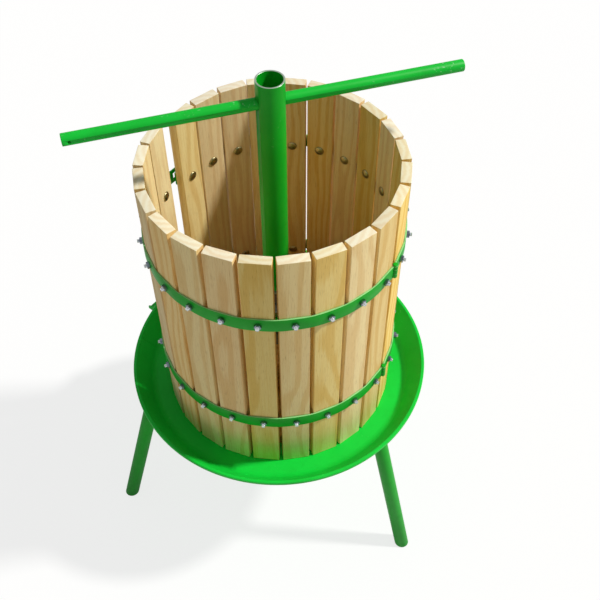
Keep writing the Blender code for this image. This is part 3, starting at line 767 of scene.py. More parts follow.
def corners(node: str) -> list[Vector]:
    """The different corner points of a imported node.

    Args:
        node: The node's name.

    Returns:
        The points, in order.
    """
    vertices = frame["nodes"][node].data.vertices
    found = {tuple(round(value, 5) for value in vertex.co) for vertex in vertices}
    return [Vector(point) for point in sorted(found)]


AXIS = joint_place("tube_turn")
UPRIGHT = Matrix.Translation((AXIS.x, AXIS.y, 0))


def half_width(node: str) -> float:
    """Half the width of a node that is round about the press axis."""
    low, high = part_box(node)
    return (high.x - low.x) / 2


@dataclass(frozen=True)
class BoardPlan:
    """How a stave stands: the middle of its section, the way it faces and its size."""

    centre: Vector
    out: Vector
    along: Vector
    thickness: float
    width: float
    bottom: float
    top: float

    @staticmethod
    def read(node: str) -> "BoardPlan":
        """Find a stave's plan from its lower corners.

        Args:
            node: The stave's name.

        Returns:
            Its plan.
        """
        low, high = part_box(node)
        flat = [point.xy for point in corners(node) if point.z < low.z + NEAR]
        centre = sum(flat, Vector((0, 0))) / len(flat)
        near = sorted(flat[1:], key=lambda point: (point - flat[0]).length)
        out = (near[0] - flat[0]).normalized()
        if out.dot(centre - AXIS.xy) < 0:
            out.negate()
        thickness = (near[0] - flat[0]).length
        width = (near[1] - flat[0]).length
        return BoardPlan(centre, out, Vector((-out.y, out.x)), thickness, width, low.z, high.z)

    def place(self, height: float) -> Matrix:
        """Local X outward from the stave's middle, local Z up."""
        turn = Matrix.Rotation(math.atan2(self.out.y, self.out.x), 4, "Z")
        return Matrix.Translation((self.centre.x, self.centre.y, height)) @ turn

    def point(self, outward: float, sideways: float) -> Vector:
        """A point from the stave's middle."""
        return self.centre + self.out * outward + self.along * sideways


def crossing(first: BoardPlan, second: BoardPlan, outward: float) -> Vector:
    """Where two staves' faces, moved outward from their middles, meet.

    Args:
        first: One stave.
        second: The stave beside it.
        outward: How far the faces are from the staves' middles.

    Returns:
        The point in plan.
    """
    one = first.centre.dot(first.out) + outward
    two = second.centre.dot(second.out) + outward
    size = first.out.x * second.out.y - first.out.y * second.out.x
    x = (one * second.out.y - two * first.out.y) / size
    y = (first.out.x * two - second.out.x * one) / size
    return Vector((x, y))


# --- basket
PLATE = 0.0030
KNUCKLE = 0.0044
KNUCKLE_BORE = 0.0028
KNUCKLE_GAP = 0.0006


def knuckle(low: float, high: float) -> Shape:
    """A rolled knuckle about Z between two heights."""
    return sleeve(KNUCKLE_BORE, KNUCKLE, (low, high), 0.0005, 28, 2)


@dataclass
class BasketHalf:
    """One half of the basket: its staves, half hoops and bolts."""

    side: str
    body: Body
    finishes: Finishes
    stave_edge: float = 0.0009
    band_edge: float = 0.0007
    inner_curve: float = 0.008
    outer_curve: float = 0.020
    half_hoop: float = 0.0125
    knuckle_share: float = 0.36
    leaf_lap: float = 0.002
    stud: tuple[Point, Point, float] = ((-0.001, 0.0037), (0.0131, 0.0189), 0.0046)
    head_radius: float = 0.0080
    head_height: float = 0.0036
    head_steps: int = 8
    head_dome: float = 0.82
    nut_flat: float = 0.0049
    nut_height: float = 0.0048
    nut_turn: float = 0.83
    bolt_radius: float = 0.0029
    bolt_end: float = 0.0042
    thread_pitch: float = 0.001
    thread_depth: float = 0.0004
    staves: list[BoardPlan] = field(default_factory=list)

    def __post_init__(self) -> None:
        """Read the staves' plans, from the hinge to the hasps."""
        self.staves = [BoardPlan.read(f"stave_{self.side}_{number:02d}") for number in range(1, 13)]

    def build(self) -> None:
        """Build and dress the half."""
        self.add_staves()
        for level in LEVELS:
            self.add_hoop(level)
            self.add_bolts(level)

    def add_staves(self) -> None:
        """Planed staves with eased edges."""
        plan = self.staves[0]
        half = (plan.thickness / 2, plan.width / 2, (plan.top - plan.bottom) / 2)
        shape = soften(block([-size for size in half], half), self.stave_edge, 3)
        mesh = finished(shape, "stave")
        for number, stave in enumerate(self.staves, 1):
            name = f"stave_{self.side}_{number:02d}"
            place = stave.place((stave.bottom + stave.top) / 2)
            add_piece("planed_" + name, mesh, self.finishes.staves, self.body, place, [name])

    def band_outline(self, start: float, end: float) -> list[Point]:
        """Plan outline of the band, bent round the staves' corners.

        Args:
            start: Where it starts on the first stave, from its middle.
            end: Where it ends on the last stave, from its middle.

        Returns:
            The outline's points.
        """
        inside = self.staves[0].thickness / 2 + SEAT
        outline: list[Point] = []
        for outward, curve in ((inside, self.inner_curve), (inside + PLATE, self.outer_curve)):
            side = [self.staves[0].point(outward, start)]
            side += [crossing(*pair, outward) for pair in zip(self.staves, self.staves[1:])]
            side.append(self.staves[-1].point(outward, end))
            bent = eased([tuple(point) for point in side], curve, closed=False, steps=8)
            outline += bent if outward == inside else bent[::-1]
        return outline

    def tongues(self, middle: bool) -> list[Point]:
        """Heights of the middle knuckle, or of the two outer ones.

        Args:
            middle: Whether it is the middle one.

        Returns:
            The lower and upper end of each.
        """
        inner = self.half_hoop * self.knuckle_share
        outer = inner + KNUCKLE_GAP
        return [(-inner, inner)] if middle else [(-self.half_hoop, -outer), (outer, self.half_hoop)]

    def hinge(self, stave: BoardPlan, pin: Vector, sign: int, middle: bool) -> tuple[float, list[Shape]]:
        """The knuckles round a pin and the tongues of band that reach them, about height 0.

        Args:
            stave: The stave that the band lies on.
            pin: Where the pin stands.
            sign: Which way the band runs from the pin, along the stave.
            middle: Whether this leaf has the middle knuckle.

        Returns:
            Where the band starts, from the stave's middle, and the shapes.
        """
        pin_side = (pin - stave.centre).dot(stave.along)
        start = pin_side + sign * (KNUCKLE + KNUCKLE_GAP)
        lap = start + sign * self.leaf_lap
        inside = stave.thickness / 2 + SEAT
        spots = ((inside, pin_side), (inside, lap), (inside + PLATE, lap), (inside + PLATE, pin_side))
        outline = [tuple(stave.point(*spot)) for spot in spots]
        shift = Matrix.Translation((pin.x, pin.y, 0))
        shapes = [moved(knuckle(*heights), shift) for heights in self.tongues(middle)]
        shapes += [soften(slab(outline, *heights), 0.0004) for heights in self.tongues(middle)]
        return start, shapes

    def add_hoop(self, level: str) -> None:
        """The painted half hoop with its knuckles, and the stud on the right half.

        Args:
            level: Which of the two hoops.
        """
        node = f"hoop_{self.side}_{level}"
        low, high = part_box(node)
        last = self.staves[-1]
        sign = 1 if self.side == "right" else -1
        start, shapes = self.hinge(self.staves[0], joint_place("half_swing").xy, sign, sign > 0)
        if sign < 0:
            end, more = self.hinge(last, joint_place("upper_hasp_turn").xy, -sign, False)
            shapes += more
        else:
            end = last.width / 2 - 0.0005
            (inner, outer), (near, far), half = self.stud
            seat = last.thickness / 2 + SEAT + PLATE
            stud = soften(block((seat + inner, near, -half), (seat + outer, far, half)), 0.0008, 3)
            shapes.append(moved(stud, last.place(0)))
        band = slab(self.band_outline(start, end), (low.z - high.z) / 2, (high.z - low.z) / 2)
        shapes.append(soften(band, self.band_edge, 2, 50))
        mesh = finished(gathered(shapes), node)
        mesh.materials.append(self.finishes.paint)
        mesh.materials.append(self.finishes.edge)
        # Faces turned up get the pale edge enamel, a painted highlight with rubbed paint.
        for face in mesh.polygons:
            face.material_index = 1 if face.normal.z > 0.5 else 0
        place = Matrix.Translation((0, 0, (low.z + high.z) / 2))
        add_piece("painted_" + node, mesh, self.finishes.paint, self.body, place, [node])

    def bolt_mesh(self) -> Mesh:
        """A round-headed bolt with its nut and thread, along local X from the stave's middle.

        Returns:
            The mesh, with its three materials.
        """
        under = -self.staves[0].thickness / 2 - SEAT
        seat = PLATE - under
        head = [(0.0, under - self.head_height)]
        for step in range(1, self.head_steps + 1):
            angle = math.pi / 2 * step / self.head_steps
            rise = self.head_height * (1 - self.head_dome * (1 - math.cos(angle)))
            head.append((self.head_radius * math.sin(angle), under - rise))
        head += [(self.head_radius, under), (0.0, under)]
        nut = hexagon_nut(self.nut_flat, self.nut_height, self.bolt_radius)
        tip = seat + self.nut_height + self.bolt_end - 0.0003
        radius = self.bolt_radius
        pitch = self.thread_pitch
        thread = [(0.0, seat + pitch)]
        for step in range(int((self.nut_height + self.bolt_end) / pitch) - 1):
            level = seat + (1 + step) * pitch
            thread += [(radius - self.thread_depth, level), (radius, level + pitch / 2)]
        thread += [(radius - 0.0006, tip - 0.0009), (radius / 2, tip - 0.0002), (0.0, tip)]
        shapes = [
            lathe(head, 32, closed=False),
            moved(nut, Matrix.Translation((0, 0, seat))),
            lathe(thread, 24, closed=False),
        ]
        coats = (self.finishes.heads, self.finishes.zinc, self.finishes.tips)
        for number, shape in enumerate(shapes):
            for face in shape.faces:
                face.material_index = number
        mesh = finished(gathered(shapes), "hoop_bolt")
        mesh.transform(Matrix.Rotation(math.pi / 2, 4, "Y"))
        for coat in coats:
            mesh.materials.append(coat)
        return mesh

    def add_bolts(self, level: str) -> None:
        """One bolt through each stave, each turned a little differently.

        Args:
            level: Which of the two hoops they hold.
        """
        low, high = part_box(f"hoop_{self.side}_{level}")
        mesh = self.bolt_mesh()
        for number, stave in enumerate(self.staves, 1):
            turn = Matrix.Rotation(number * self.nut_turn, 4, "X")
            place = stave.place((low.z + high.z) / 2) @ turn
            name = f"bolt_{self.side}_{level}_{number:02d}"
            add_piece(name, mesh, self.finishes.zinc, self.body, place)


@dataclass
class Fastenings:
    """Hinge pins, hasp pins and hasps."""

    finishes: Finishes
    pin_radius: float = 0.00245
    head_radius: float = 0.0039
    head_height: float = 0.002
    window_width: float = 0.0092
    end_bar: float = 0.0036
    rail: float = 0.0062
    half_knuckle: float = 0.0044

    def build(self) -> None:
        """Build and dress every fastening."""
        mesh = self.pin_mesh()
        for kind, joint in (("hinge_pin", "half_swing"), ("hasp_pin", "upper_hasp_turn")):
            for level in LEVELS:
                node = f"{kind}_{level}"
                low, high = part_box(node)
                spot = joint_place(joint)
                place = Matrix.Translation((spot.x, spot.y, (low.z + high.z) / 2))
                add_piece("headed_" + node, mesh, self.finishes.paint, Body.LEFT, place, [node])
        for level, body in zip(LEVELS, (Body.LOWER_HASP, Body.UPPER_HASP)):
            self.add_hasp(level, body)

    def pin_mesh(self) -> Mesh:
        """A pin with a domed head and a rounded end, about its middle.

        Returns:
            The mesh.
        """
        low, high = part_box("hinge_pin_lower")
        half = (high.z - low.z) / 2
        head = half - self.head_height
        profile = rod(self.pin_radius, -half, head)[:3] + rod(self.head_radius, head, half)[1:]
        return finished(lathe(eased(profile, 0.0012, closed=False), 32, closed=False), "headed_pin")

    def add_hasp(self, level: str, body: Body) -> None:
        """The hinged plate with a window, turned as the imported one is.

        Args:
            level: Which of the two hasps.
            body: The body it rides on.
        """
        node = "hasp_" + level
        low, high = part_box(node)
        pin = joint_place(level + "_hasp_turn")
        points = [point.xy - pin.xy for point in corners(node)]
        far = max(points, key=lambda point: point.length)
        ends = [point for point in points if (point - far).length < 1.2 * PLATE]
        ends = [point for point in ends if point.length > far.length * 0.97]
        edge = (max(ends, key=lambda point: (point - far).length) - far).normalized()
        facing = Vector((-edge.y, edge.x))
        if facing.dot(far) < 0:
            facing.negate()
        across = Vector((-facing.y, facing.x))
        inside = min(point.dot(across) for point in ends)
        half = (high.z - low.z) / 2
        start = KNUCKLE + KNUCKLE_GAP
        reach = far.dot(facing)
        window = (reach - self.end_bar - self.window_width, reach - self.end_bar)
        rails = (window[0] - 0.0005, window[1] + 0.0005)
        bars = (
            (start, window[0], -half, half),
            (window[1], reach, -half, half),
            (*rails, half - self.rail, half),
            (*rails, -half, self.rail - half),
            (0.0, start + 0.001, -self.half_knuckle, self.half_knuckle),
        )
        shapes = []
        for near, end, bottom, top in bars:
            shapes.append(soften(block((near, inside, bottom), (end, inside + PLATE, top)), 0.0004))
        shapes.append(knuckle(-self.half_knuckle, self.half_knuckle))
        mesh = finished(gathered(shapes), node)
        turn = Matrix.Rotation(math.atan2(facing.y, facing.x), 4, "Z")
        place = Matrix.Translation((pin.x, pin.y, (low.z + high.z) / 2)) @ turn
        add_piece("painted_" + node, mesh, self.finishes.paint, body, place, [node])


# --- tray and legs
@dataclass
class Stand:
    """The tray with its spout, the legs, the braces and the spindle."""

    finishes: Finishes
    sheet: float = 0.0024
    lip: float = 0.0042
    flare: float = 0.028
    bend: float = 0.006
    spout_half: float = 0.045
    spout_lap: float = 0.0076
    leg_radius: float = 0.0131
    leg_wall: float = 0.0026
    leg_slope: float = 0.28125
    leg_sides: int = 96
    foot_wear: float = 0.94
    brace_reach: float = 0.004
    brace_turn: float = 0.1
    thread_pitch: float = 0.006
    thread_depth: float = 0.0026
    thread_steps: int = 28
    seam_offset: float = 0.049
    seam_length: float = 0.026
    seam_steps: int = 40

    def build(self) -> None:
        """Build and dress the stand."""
        self.add_tray()
        self.add_spout()
        for side in SIDES:
            self.add_leg(side)
            brace = frame["nodes"]["brace_" + side]
            brace.data.materials.clear()
            brace.data.materials.append(self.finishes.paint)
        self.add_hub()
        self.add_spindle()
        self.add_spindle_nuts()

    def rim(self) -> float:
        """The tray's outer radius."""
        return AXIS.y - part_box("tray")[0].y

    def floor_radius(self) -> float:
        """Radius at which the tray's wall starts."""
        return self.rim() - self.lip - self.flare

    def tray_profile(self) -> list[Point]:
        """Section of the tray, from the hole's underside out and back in.

        Returns:
            The section's points.
        """
        low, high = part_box("tray")
        rim = self.rim()
        floor = self.floor_radius()
        hole = half_width("spindle") + 0.0006
        inset = rim - 0.001
        lip_low = high.z - self.sheet
        roll_low = high.z - 0.0062
        floor_top = low.z + self.sheet
        under = [(hole, low.z), (floor, low.z), (rim - self.lip, lip_low), (inset, lip_low)]
        edge = [(inset, roll_low), (rim, roll_low), (rim, high.z - 0.001), (inset, high.z)]
        over = [(inset - self.lip, high.z), (floor - 0.001, floor_top), (hole, floor_top)]
        return eased(under, 0.012, closed=False, steps=6) + edge + eased(over, 0.010, closed=False, steps=6)

    def add_tray(self) -> None:
        """The round tray, with its wall cut away for the spout."""
        shape = lathe(self.tray_profile(), 160)
        half = self.spout_half + self.sheet
        inner = self.floor_radius() - 0.008
        turn = Matrix.Rotation(-self.spout_angle(), 3, "Z")
        along = turn.inverted() @ Vector((1, 0, 0))
        across = turn.inverted() @ Vector((0, 1, 0))
        for distance, normal in ((-half, across), (half, across), (inner, along)):
            bmesh.ops.bisect_plane(
                shape,
                geom=shape.verts[:] + shape.edges[:] + shape.faces[:],
                plane_co=normal * distance,
                plane_no=normal,
                dist=TINY,
            )
        gone = []
        for face in shape.faces:
            middle = turn @ face.calc_center_median()
            if middle.x > inner and abs(middle.y) < half:
                gone.append(face)
        bmesh.ops.delete(shape, geom=gone, context="FACES")
        loose = [edge for edge in shape.edges if edge.is_boundary]
        bmesh.ops.holes_fill(shape, edges=loose, sides=0)
        mesh = finished(gathered([shape, self.seam()]), "tray", 40)
        add_piece("enamelled_tray", mesh, self.finishes.tray, Body.STAND, UPRIGHT, ["tray"])

    def seam(self) -> Shape:
        """The raised line where the tray's sheet was joined, across the channel and up the wall.

        Returns:
            The bead.
        """
        low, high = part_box("tray")
        edge = self.floor_radius()
        length = self.seam_length + self.flare - 0.002
        path = []
        for step in range(self.seam_steps + 1):
            reach = edge - self.seam_length + length * step / self.seam_steps
            climb = max(0.0, reach - edge + 0.001) / self.flare
            level = low.z + self.sheet + climb * (high.z - low.z - self.sheet)
            path.append(Vector((-math.sqrt(reach**2 - self.seam_offset**2), self.seam_offset, level)))
        return weld(path, 0.0006, closed=False)

    def spout_angle(self) -> float:
        """Direction of the spout from the press axis.

        Returns:
            The angle from +X.
        """
        low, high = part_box("spout")
        middle = (low + high) / 2 - AXIS
        return math.atan2(middle.y, middle.x)

    def add_spout(self) -> None:
        """The short open channel with its sides, welded to the tray."""
        low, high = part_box("spout")
        place = UPRIGHT @ Matrix.Rotation(self.spout_angle(), 4, "Z")
        end = max((place.inverted() @ point).x for point in corners("spout"))
        wall_top = self.rim() - self.lip
        inner = self.floor_radius() - self.spout_lap
        half = self.spout_half
        side_high = high.z - low.z
        profile = [
            (inner, 0.0),
            (end, 0.0),
            (end, self.sheet + 0.006),
            (end - 0.012, self.sheet + 0.0085),
            (wall_top, side_high),
            (inner + self.bend, self.sheet * 2 + self.bend),
            (inner, self.sheet * 2),
        ]
        wide = half + self.sheet
        floor = block((inner - 0.014, -wide, low.z), (end, wide, low.z + self.sheet))
        shapes = [soften(floor, 0.0006)]
        stand = Matrix.Translation((0, 0, low.z)) @ Matrix.Rotation(math.pi / 2, 4, "X")
        start = Vector((inner + 0.004, 0, low.z + self.sheet * 2))
        climb = Vector((wall_top - inner - 0.006, 0, side_high - self.sheet * 2.4))
        for sign in (-1, 1):
            near = half if sign > 0 else -wide
            wall = slab(eased(profile, 0.003, steps=3), -near - self.sheet, -near)
            shapes.append(soften(moved(wall, stand), 0.0005))
            edge = start + Vector((0, sign * wide, 0))
            path = [edge + climb * (step / 21) for step in range(22)]
            shapes.append(weld(path, 0.0017, closed=False))
        mesh = finished(gathered(shapes), "spout")
        add_piece("enamelled_spout", mesh, self.finishes.tray, Body.STAND, place, ["spout"])

    def add_leg(self, side: str) -> None:
        """A splayed tube with a worn foot, welded under the tray.

        Args:
            side: Which leg.
        """
        node = "leg_" + side
        foot = [point for point in corners(node) if point.z < NEAR]
        centre = (sum(foot, Vector()) / len(foot)).xy
        inward = (AXIS.xy - centre).normalized()
        across = Vector((-inward.y, inward.x))
        stretch = math.hypot(1, self.leg_slope)

        def section(radius: float) -> list[Vector]:
            """The tube's level section, from its middle."""
            return [inward * (x * stretch) + across * y for x, y in circle(radius, self.leg_sides)]

        def spot(offset: Vector, height: float, swell: float = 1.0) -> Vector:
            """A point beside the tube's middle line, at a height."""
            place = centre + offset * swell + inward * height * self.leg_slope
            return Vector((*place, height))

        outer = section(self.leg_radius)
        inner = section(self.leg_radius - self.leg_wall)
        levels = self.leg_levels(centre, inward, outer)
        rings = [
            [spot(offset, 0.0) for offset in inner],
            [spot(offset, 0.0, self.foot_wear) for offset in outer],
            [spot(offset, 0.0009) for offset in outer],
            [spot(offset, level) for offset, level in zip(outer, levels)],
            [spot(offset, level) for offset, level in zip(inner, levels)],
        ]
        bead = [spot(outer[step], levels[step] - 0.0012, 1.03) for step in range(0, self.leg_sides, 2)]
        mesh = finished(gathered([skin(rings), weld(bead, 0.0019)]), node, 50)
        add_piece("enamelled_" + node, mesh, self.finishes.paint, Body.STAND, None, [node])

    def leg_levels(self, centre: Vector, inward: Vector, ring: Sequence[Vector]) -> list[float]:
        """Heights at which a leg's surface meets the tray's underside.

        Args:
            centre: The middle of the leg's foot.
            inward: The way the leg leans.
            ring: The leg's level section.

        Returns:
            A height for each point of the section.
        """
        low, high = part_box("tray")
        floor = self.floor_radius()
        rise = (high.z - self.sheet - low.z) / self.flare
        levels = []
        for offset in ring:
            height = low.z - 0.0004
            for _ in range(60):
                place = centre + offset + inward * height * self.leg_slope - AXIS.xy
                if low.z + max(0.0, place.length - floor) * rise - 0.0005 <= height:
                    break
                height += 0.0008
            levels.append(height)
        return levels

    def add_hub(self) -> None:
        """The turned hub under the tray, with its welds to the braces."""
        low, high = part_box("hub")
        radius = half_width("hub")
        shapes = [sleeve(half_width("spindle") + 0.0005, radius, (low.z, high.z), 0.0015, 72)]
        for side in SIDES:
            near = radius + self.brace_reach
            spots = [point for point in corners("brace_" + side) if (point - AXIS).xy.length < near]
            bottom = min(point.z for point in spots)
            middle = sum(spots, Vector()) / len(spots) - AXIS
            for sign in (-1, 1):
                angle = math.atan2(middle.y, middle.x) + sign * self.brace_turn
                x, y = radius * math.cos(angle), radius * math.sin(angle)
                path = [Vector((x, y, bottom + step * 0.0014)) for step in range(25)]
                shapes.append(weld(path, 0.0018, closed=False))
        mesh = finished(gathered(shapes), "hub")
        add_piece("enamelled_hub", mesh, self.finishes.paint, Body.STAND, UPRIGHT, ["hub"])

    def add_spindle(self) -> None:
        """The spindle with a real trapezoidal thread wound round it."""
        low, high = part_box("spindle")
        radius = half_width("spindle")
        core = radius - self.thread_depth
        steps = self.thread_steps
        shape = bmesh.new()
        turns = int((high.z - low.z) / self.thread_pitch) + 1
        rows = []
        for share, reach in ((0.0, core), (0.14, core), (0.36, radius), (0.64, radius), (0.86, core)):
            row = []
            for step in range(turns * steps + 1):
                angle = 2 * math.pi * step / steps
                height = low.z + (step / steps - 1 + share) * self.thread_pitch
                height = min(max(height, low.z), high.z)
                taper = min(1.0, (high.z - height) / 0.003 + 0.35)
                wide = core + (reach - core) * taper
                row.append(shape.verts.new((wide * math.cos(angle), wide * math.sin(angle), height)))
            rows.append(row)
        for below, above in [*zip(rows, rows[1:]), (rows[-1][:-steps], rows[0][steps:])]:
            for step in range(len(below) - 1):
                shape.faces.new((below[step], below[step + 1], above[step + 1], above[step]))
        bmesh.ops.remove_doubles(shape, verts=shape.verts, dist=TINY)
        ends = lathe(rod(core, low.z, high.z), steps, closed=False)
        mesh = finished(gathered([shape, ends]), "spindle", 45)
        steel = self.finishes.steel
        add_piece("threaded_spindle", mesh, steel, Body.STAND, UPRIGHT, ["spindle"])

    def add_spindle_nuts(self) -> None:
        """The big hexagon nuts above the tray and under the hub."""
        for level in ("upper", "lower"):
            node = "spindle_nut_" + level
            low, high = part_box(node)
            shape = hexagon_nut((high.x - low.x) / 2, high.z - low.z, half_width("spindle") + 0.0003, 72)
            place = UPRIGHT @ Matrix.Translation((0, 0, low.z))
            mesh = finished(shape, node)
            add_piece("hexagon_" + node, mesh, self.finishes.steel, Body.STAND, place, [node])


# --- boards, foot and tube
GRAIN = Matrix.Rotation(math.pi / 2, 4, "Y")


@dataclass
class PressBoards:
    """The half boards and the battens across them."""

    finishes: Finishes
    edge: float = 0.0016
    hole: float = 0.032
    cut: float = 0.012

    def build(self) -> None:
        """Build and dress the boards."""
        for side, turn in (("back", 0.0), ("front", math.pi)):
            self.add_board(side, turn)
        for side in ("left", "right", "back", "front"):
            self.add_batten(side)

    def add_board(self, side: str, turn: float) -> None:
        """Half a round board, its grain along the straight edge.

        Args:
            side: Which half.
            turn: How far it is turned about the press axis.
        """
        node = "board_" + side
        low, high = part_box(node)
        radius = (high.x - low.x) / 2 - 0.0002
        outline = []
        for reach, start, end, steps in (
            (radius, 0.002, math.pi - 0.002, 60),
            (self.hole, math.pi - 0.01, 0.01, 20),
        ):
            for step in range(steps + 1):
                angle = start + (end - start) * step / steps
                outline.append((reach * math.cos(angle), reach * math.sin(angle)))
        shape = soften(slab(outline, low.z, high.z), self.edge, 3, 40)
        place = UPRIGHT @ Matrix.Rotation(turn, 4, "Z")
        self.add_wood(node, shape, place)

    def add_batten(self, side: str) -> None:
        """A batten with cut ends, its grain along its length.

        Args:
            side: Which batten.
        """
        node = "batten_" + side
        low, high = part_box(node)
        size = high - low
        length = max(size.x, size.y) / 2
        width = min(size.x, size.y) / 2
        top = size.z / 2
        shoulder = top - self.cut
        outline = [(-length, -top), (length, -top), (length, shoulder), (length - self.cut, top)]
        outline += [(self.cut - length, top), (-length, shoulder)]
        shape = soften(slab(outline, -width, width), self.edge, 2)
        lay = Matrix.Rotation(math.pi / 2, 4, "X")
        if size.y > size.x:
            lay = Matrix.Rotation(math.pi / 2, 4, "Z") @ lay
        self.add_wood(node, shape, Matrix.Translation((low + high) / 2) @ lay)

    def add_wood(self, node: str, shape: Shape, place: Matrix) -> None:
        """Add a wooden piece with its grain along the shape's X.

        Args:
            node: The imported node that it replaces.
            shape: Its shape, which is used up.
            place: Where the shape goes.
        """
        mesh = finished(moved(shape, GRAIN.inverted()), node)
        wood = self.finishes.boards
        add_piece("planed_" + node, mesh, wood, Body.BOARDS, place @ GRAIN, [node])


@dataclass
class PressHead:
    """The foot, its keeper ring, the nut, the tube and the tee bar."""

    finishes: Finishes
    tube_wall: float = 0.0026
    lip_width: float = 0.0040
    collar_radius: float = 0.024
    flange_height: float = 0.008
    cross_hole: float = 0.0092
    hole_inset: float = 0.010
    hole_radius: float = 0.0025
    body_radius: float = 0.0297

    def build(self) -> None:
        """Build and dress the press head."""
        self.add_foot()
        self.add_keeper()
        self.add_nut()
        self.add_tube()
        self.add_tee()

    def add_foot(self) -> None:
        """The square foot with rounded corners and a turned hole."""
        low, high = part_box("foot_plate")
        half = (high.x - low.x) / 2
        square = eased([(half, half), (-half, half), (-half, -half), (half, -half)], 0.010, steps=6)
        plate = soften(slab(square, low.z, high.z), 0.0010, 3, 50)
        collar = sleeve(half_width("spindle") + 0.0008, self.collar_radius, (low.z, high.z), 0.0006, 64, 4)
        mesh = finished(gathered([plate, collar]), "foot_plate")
        paint = self.finishes.paint
        add_piece("enamelled_foot", mesh, paint, Body.FOOT, UPRIGHT, ["foot_plate"])

    def add_keeper(self) -> None:
        """The turned ring with four screw heads."""
        low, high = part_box("keeper_ring")
        outer = half_width("keeper_ring")
        flange = half_width("press_nut") + 0.0005
        bore = self.body_radius + 0.0006
        lip = high.z - self.lip_width
        profile = [(flange, low.z), (outer, low.z), (outer, high.z)]
        profile += [(bore, high.z), (bore, lip), (flange, lip)]
        shapes = [lathe(eased(profile, 0.0009, steps=3), 80)]
        middle = (flange + outer) / 2
        head = eased([(0.0, 0.0), (0.0034, 0.0), (0.0034, 0.0007), (0.0, 0.0012)], 0.0004, closed=False)
        for turn in range(4):
            angle = math.pi / 4 + turn * math.pi / 2
            spot = (middle * math.cos(angle), middle * math.sin(angle), high.z - 0.0004)
            shapes.append(moved(lathe(head, 24, closed=False), Matrix.Translation(spot)))
        mesh = finished(gathered(shapes), "keeper_ring")
        steel = self.finishes.steel
        add_piece("turned_keeper", mesh, steel, Body.FOOT, UPRIGHT, ["keeper_ring"])

    def add_nut(self) -> None:
        """The turned nut with its flange, body and spigot."""
        low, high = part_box("press_nut")
        flange = half_width("press_nut")
        flange_top = low.z + self.flange_height
        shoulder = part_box("press_tube")[0].z - SEAT
        bore = half_width("spindle") + 0.0005
        spigot = half_width("press_tube") - self.tube_wall - 0.0003
        profile = [(bore, low.z), (flange, low.z), (flange, flange_top), (self.body_radius, flange_top)]
        profile += [(self.body_radius, shoulder), (spigot, shoulder), (spigot, high.z), (bore, high.z)]
        mesh = finished(lathe(eased(profile, 0.0010, steps=3), 80), "press_nut")
        steel = self.finishes.steel
        add_piece("turned_press_nut", mesh, steel, Body.TUBE, UPRIGHT, ["press_nut"])

    def add_tube(self) -> None:
        """The tube with eased rims, its cross holes and the weld to its nut."""
        low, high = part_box("press_tube")
        bar_low, bar_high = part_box("tee_bar")
        outer = half_width("press_tube")
        blank = finished(sleeve(outer - self.tube_wall, outer, (low.z, high.z), 0.0006, 72), "press_tube")
        mesh = drilled(blank, self.cross_hole, 40, self.bar_place((bar_low.z + bar_high.z) / 2))
        paint = self.finishes.paint
        mesh.materials.clear()
        mesh.materials.append(paint)
        mesh.materials.append(self.finishes.rim)
        for face in mesh.polygons:
            face.material_index = 1 if face.center.z > high.z - 0.0004 and face.normal.z > 0.5 else 0
        path = [Vector((x, y, low.z + 0.0016)) for x, y in circle(outer + 0.0006, 90)]
        bead = finished(weld(path, 0.0021), "tube_weld")
        add_piece("enamelled_tube", mesh, paint, Body.TUBE, UPRIGHT, ["press_tube"])
        add_piece("tube_weld", bead, paint, Body.TUBE, UPRIGHT)

    def bar_direction(self) -> Vector:
        """Which way the tee bar points, first from its end's corners and then from its box.

        Returns:
            The level direction.
        """
        points = corners("tee_bar")
        edge = max(point.x for point in points) - 0.006
        right = [point for point in points if point.x > edge]
        middle = sum(right, Vector()) / len(right) - AXIS
        low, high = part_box("tee_bar")
        size = high - low
        angle = math.atan2(middle.y, middle.x)
        for _ in range(20):
            length = (size.x - size.z * abs(math.sin(angle))) / math.cos(angle)
            angle = math.asin((size.y - size.z * math.cos(angle)) / length)
        return Vector((math.cos(angle), math.sin(angle), 0))

    def bar_place(self, height: float) -> Matrix:
        """Place something along the tee bar, on the tube's middle line.

        Args:
            height: How high.

        Returns:
            A place with local Z along the bar.
        """
        way = self.bar_direction()
        turn = Matrix.Rotation(math.atan2(way.y, way.x), 4, "Z") @ GRAIN
        return Matrix.Translation((0, 0, height)) @ turn

    def add_tee(self) -> None:
        """The tee bar with eased ends and a drilled hole near one end."""
        low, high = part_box("tee_bar")
        radius = (high.z - low.z) / 2
        way = self.bar_direction()
        half = ((high.x - low.x) - 2 * radius * abs(way.y)) / way.x / 2 - SEAT
        shape = lathe(eased(rod(radius, -half, half), 0.0012, closed=False), 48, closed=False)
        drill = Matrix.Translation((0, 0, self.hole_inset - half)) @ Matrix.Rotation(math.pi / 2, 4, "X")
        mesh = drilled(finished(shape, "tee_bar"), self.hole_radius, 24, drill)
        place = UPRIGHT @ self.bar_place((low.z + high.z) / 2)
        add_piece("enamelled_tee_bar", mesh, self.finishes.bar, Body.TUBE, place, ["tee_bar"])


# --- studio
WHITE = (1.0, 1.0, 1.0)


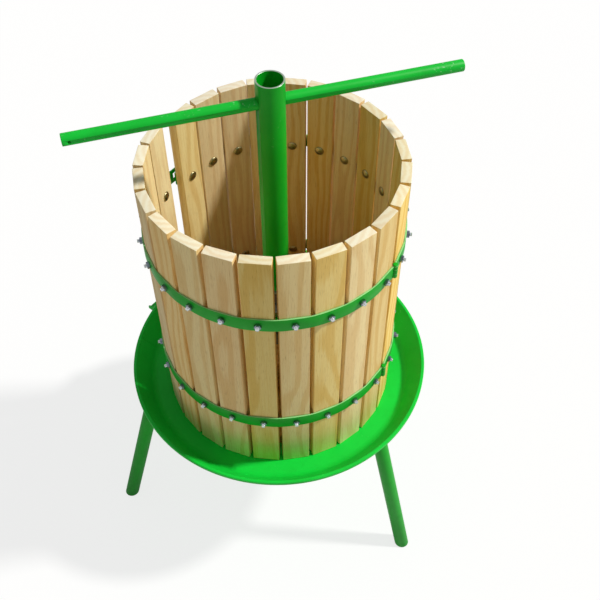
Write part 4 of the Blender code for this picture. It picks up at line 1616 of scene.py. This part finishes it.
@dataclass
class Studio:
    """Floor, light and camera."""

    floor_half: float = 6.0
    floor_bounce: float = 0.62
    shadow_veil: float = 0.78
    shine: float = 0.24
    key_turn: float = 4.0
    key_height: float = 47.0
    key_power: float = 3.1
    key_spread: float = 5.0
    key_colour: Colour = (1.0, 0.98, 0.94)
    fill_power: float = 0.27
    camera_place: tuple[float, float, float] = (0.00265, -0.9875, 1.6606)
    yaw: float = 2.14
    pitch: float = 50.07
    roll: float = -0.19
    lens: float = 52.98

    def build(self) -> None:
        """Set up everything round the press."""
        self.add_floor()
        self.add_key()
        self.add_surround()
        self.add_camera()
        bpy.context.scene.view_settings.view_transform = "Standard"

    def add_floor(self) -> None:
        """A pale floor that keeps the press's shadow."""
        half = self.floor_half
        mesh = finished(block((-half, -half, -0.012), (half, half, -0.001)), "floor")
        floor = bpy.data.objects.new("studio_floor", mesh)
        bpy.context.scene.collection.objects.link(floor)
        graph = Graph(bpy.data.materials.new("studio_white"))
        seen = graph.seen(self.shine)
        tone = graph.mix(seen, (self.floor_bounce,) * 3, (1.0 - self.shadow_veil,) * 3)
        glow = graph.times(seen, self.shadow_veil)
        graph.surface(Base_Color=tone, Roughness=0.95, Specular_IOR_Level=0.0)
        mesh.materials.append(graph.surface(Emission_Color=WHITE, Emission_Strength=glow))

    def add_key(self) -> None:
        """One soft key from the right."""
        lamp = bpy.data.lights.new("key", "SUN")
        lamp.energy = self.key_power
        lamp.angle = math.radians(self.key_spread)
        lamp.color = self.key_colour
        key = bpy.data.objects.new("key", lamp)
        turn = math.radians(self.key_turn)
        height = math.radians(self.key_height)
        flat = math.cos(height)
        toward = Vector((math.cos(turn) * flat, math.sin(turn) * flat, math.sin(height)))
        key.rotation_euler = toward.to_track_quat("Z", "Y").to_euler()
        bpy.context.scene.collection.objects.link(key)

    def add_surround(self) -> None:
        """An even white surround, brighter where it is seen than where it only lights."""
        world = bpy.data.worlds.new("surround")
        bpy.context.scene.world = world
        graph = Graph(world, "Background")
        inputs = {"Value": graph.seen(self.shine), "To Min": self.fill_power, "To Max": 1.0}
        graph.surface(Color=WHITE, Strength=graph.add("MapRange", inputs))

    def add_camera(self) -> None:
        """The camera, looking down at the press from the front."""
        data = bpy.data.cameras.new("camera")
        data.sensor_width = 36.0
        data.lens = self.lens
        camera = bpy.data.objects.new("camera", data)
        x, y, z = self.camera_place
        turn = Matrix.Rotation(-math.radians(self.yaw), 4, "Z")
        tip = Matrix.Rotation(math.radians(90 - self.pitch), 4, "X")
        spin = Matrix.Rotation(math.radians(self.roll), 4, "Z")
        camera.matrix_world = Matrix.Translation((x + AXIS.x, y + AXIS.y, z)) @ turn @ tip @ spin
        bpy.context.scene.collection.objects.link(camera)
        bpy.context.scene.camera = camera


def main() -> None:
    """Build every part of the press in order."""
    logging.basicConfig(level=logging.INFO, format="%(name)s: %(message)s")
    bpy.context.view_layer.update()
    finishes = Finishes.mix_all()
    Stand(finishes).build()
    BasketHalf("left", Body.LEFT, finishes).build()
    BasketHalf("right", Body.RIGHT, finishes).build()
    Fastenings(finishes).build()
    PressBoards(finishes).build()
    PressHead(finishes).build()
    Studio().build()


if __name__ == "__main__":
    main()
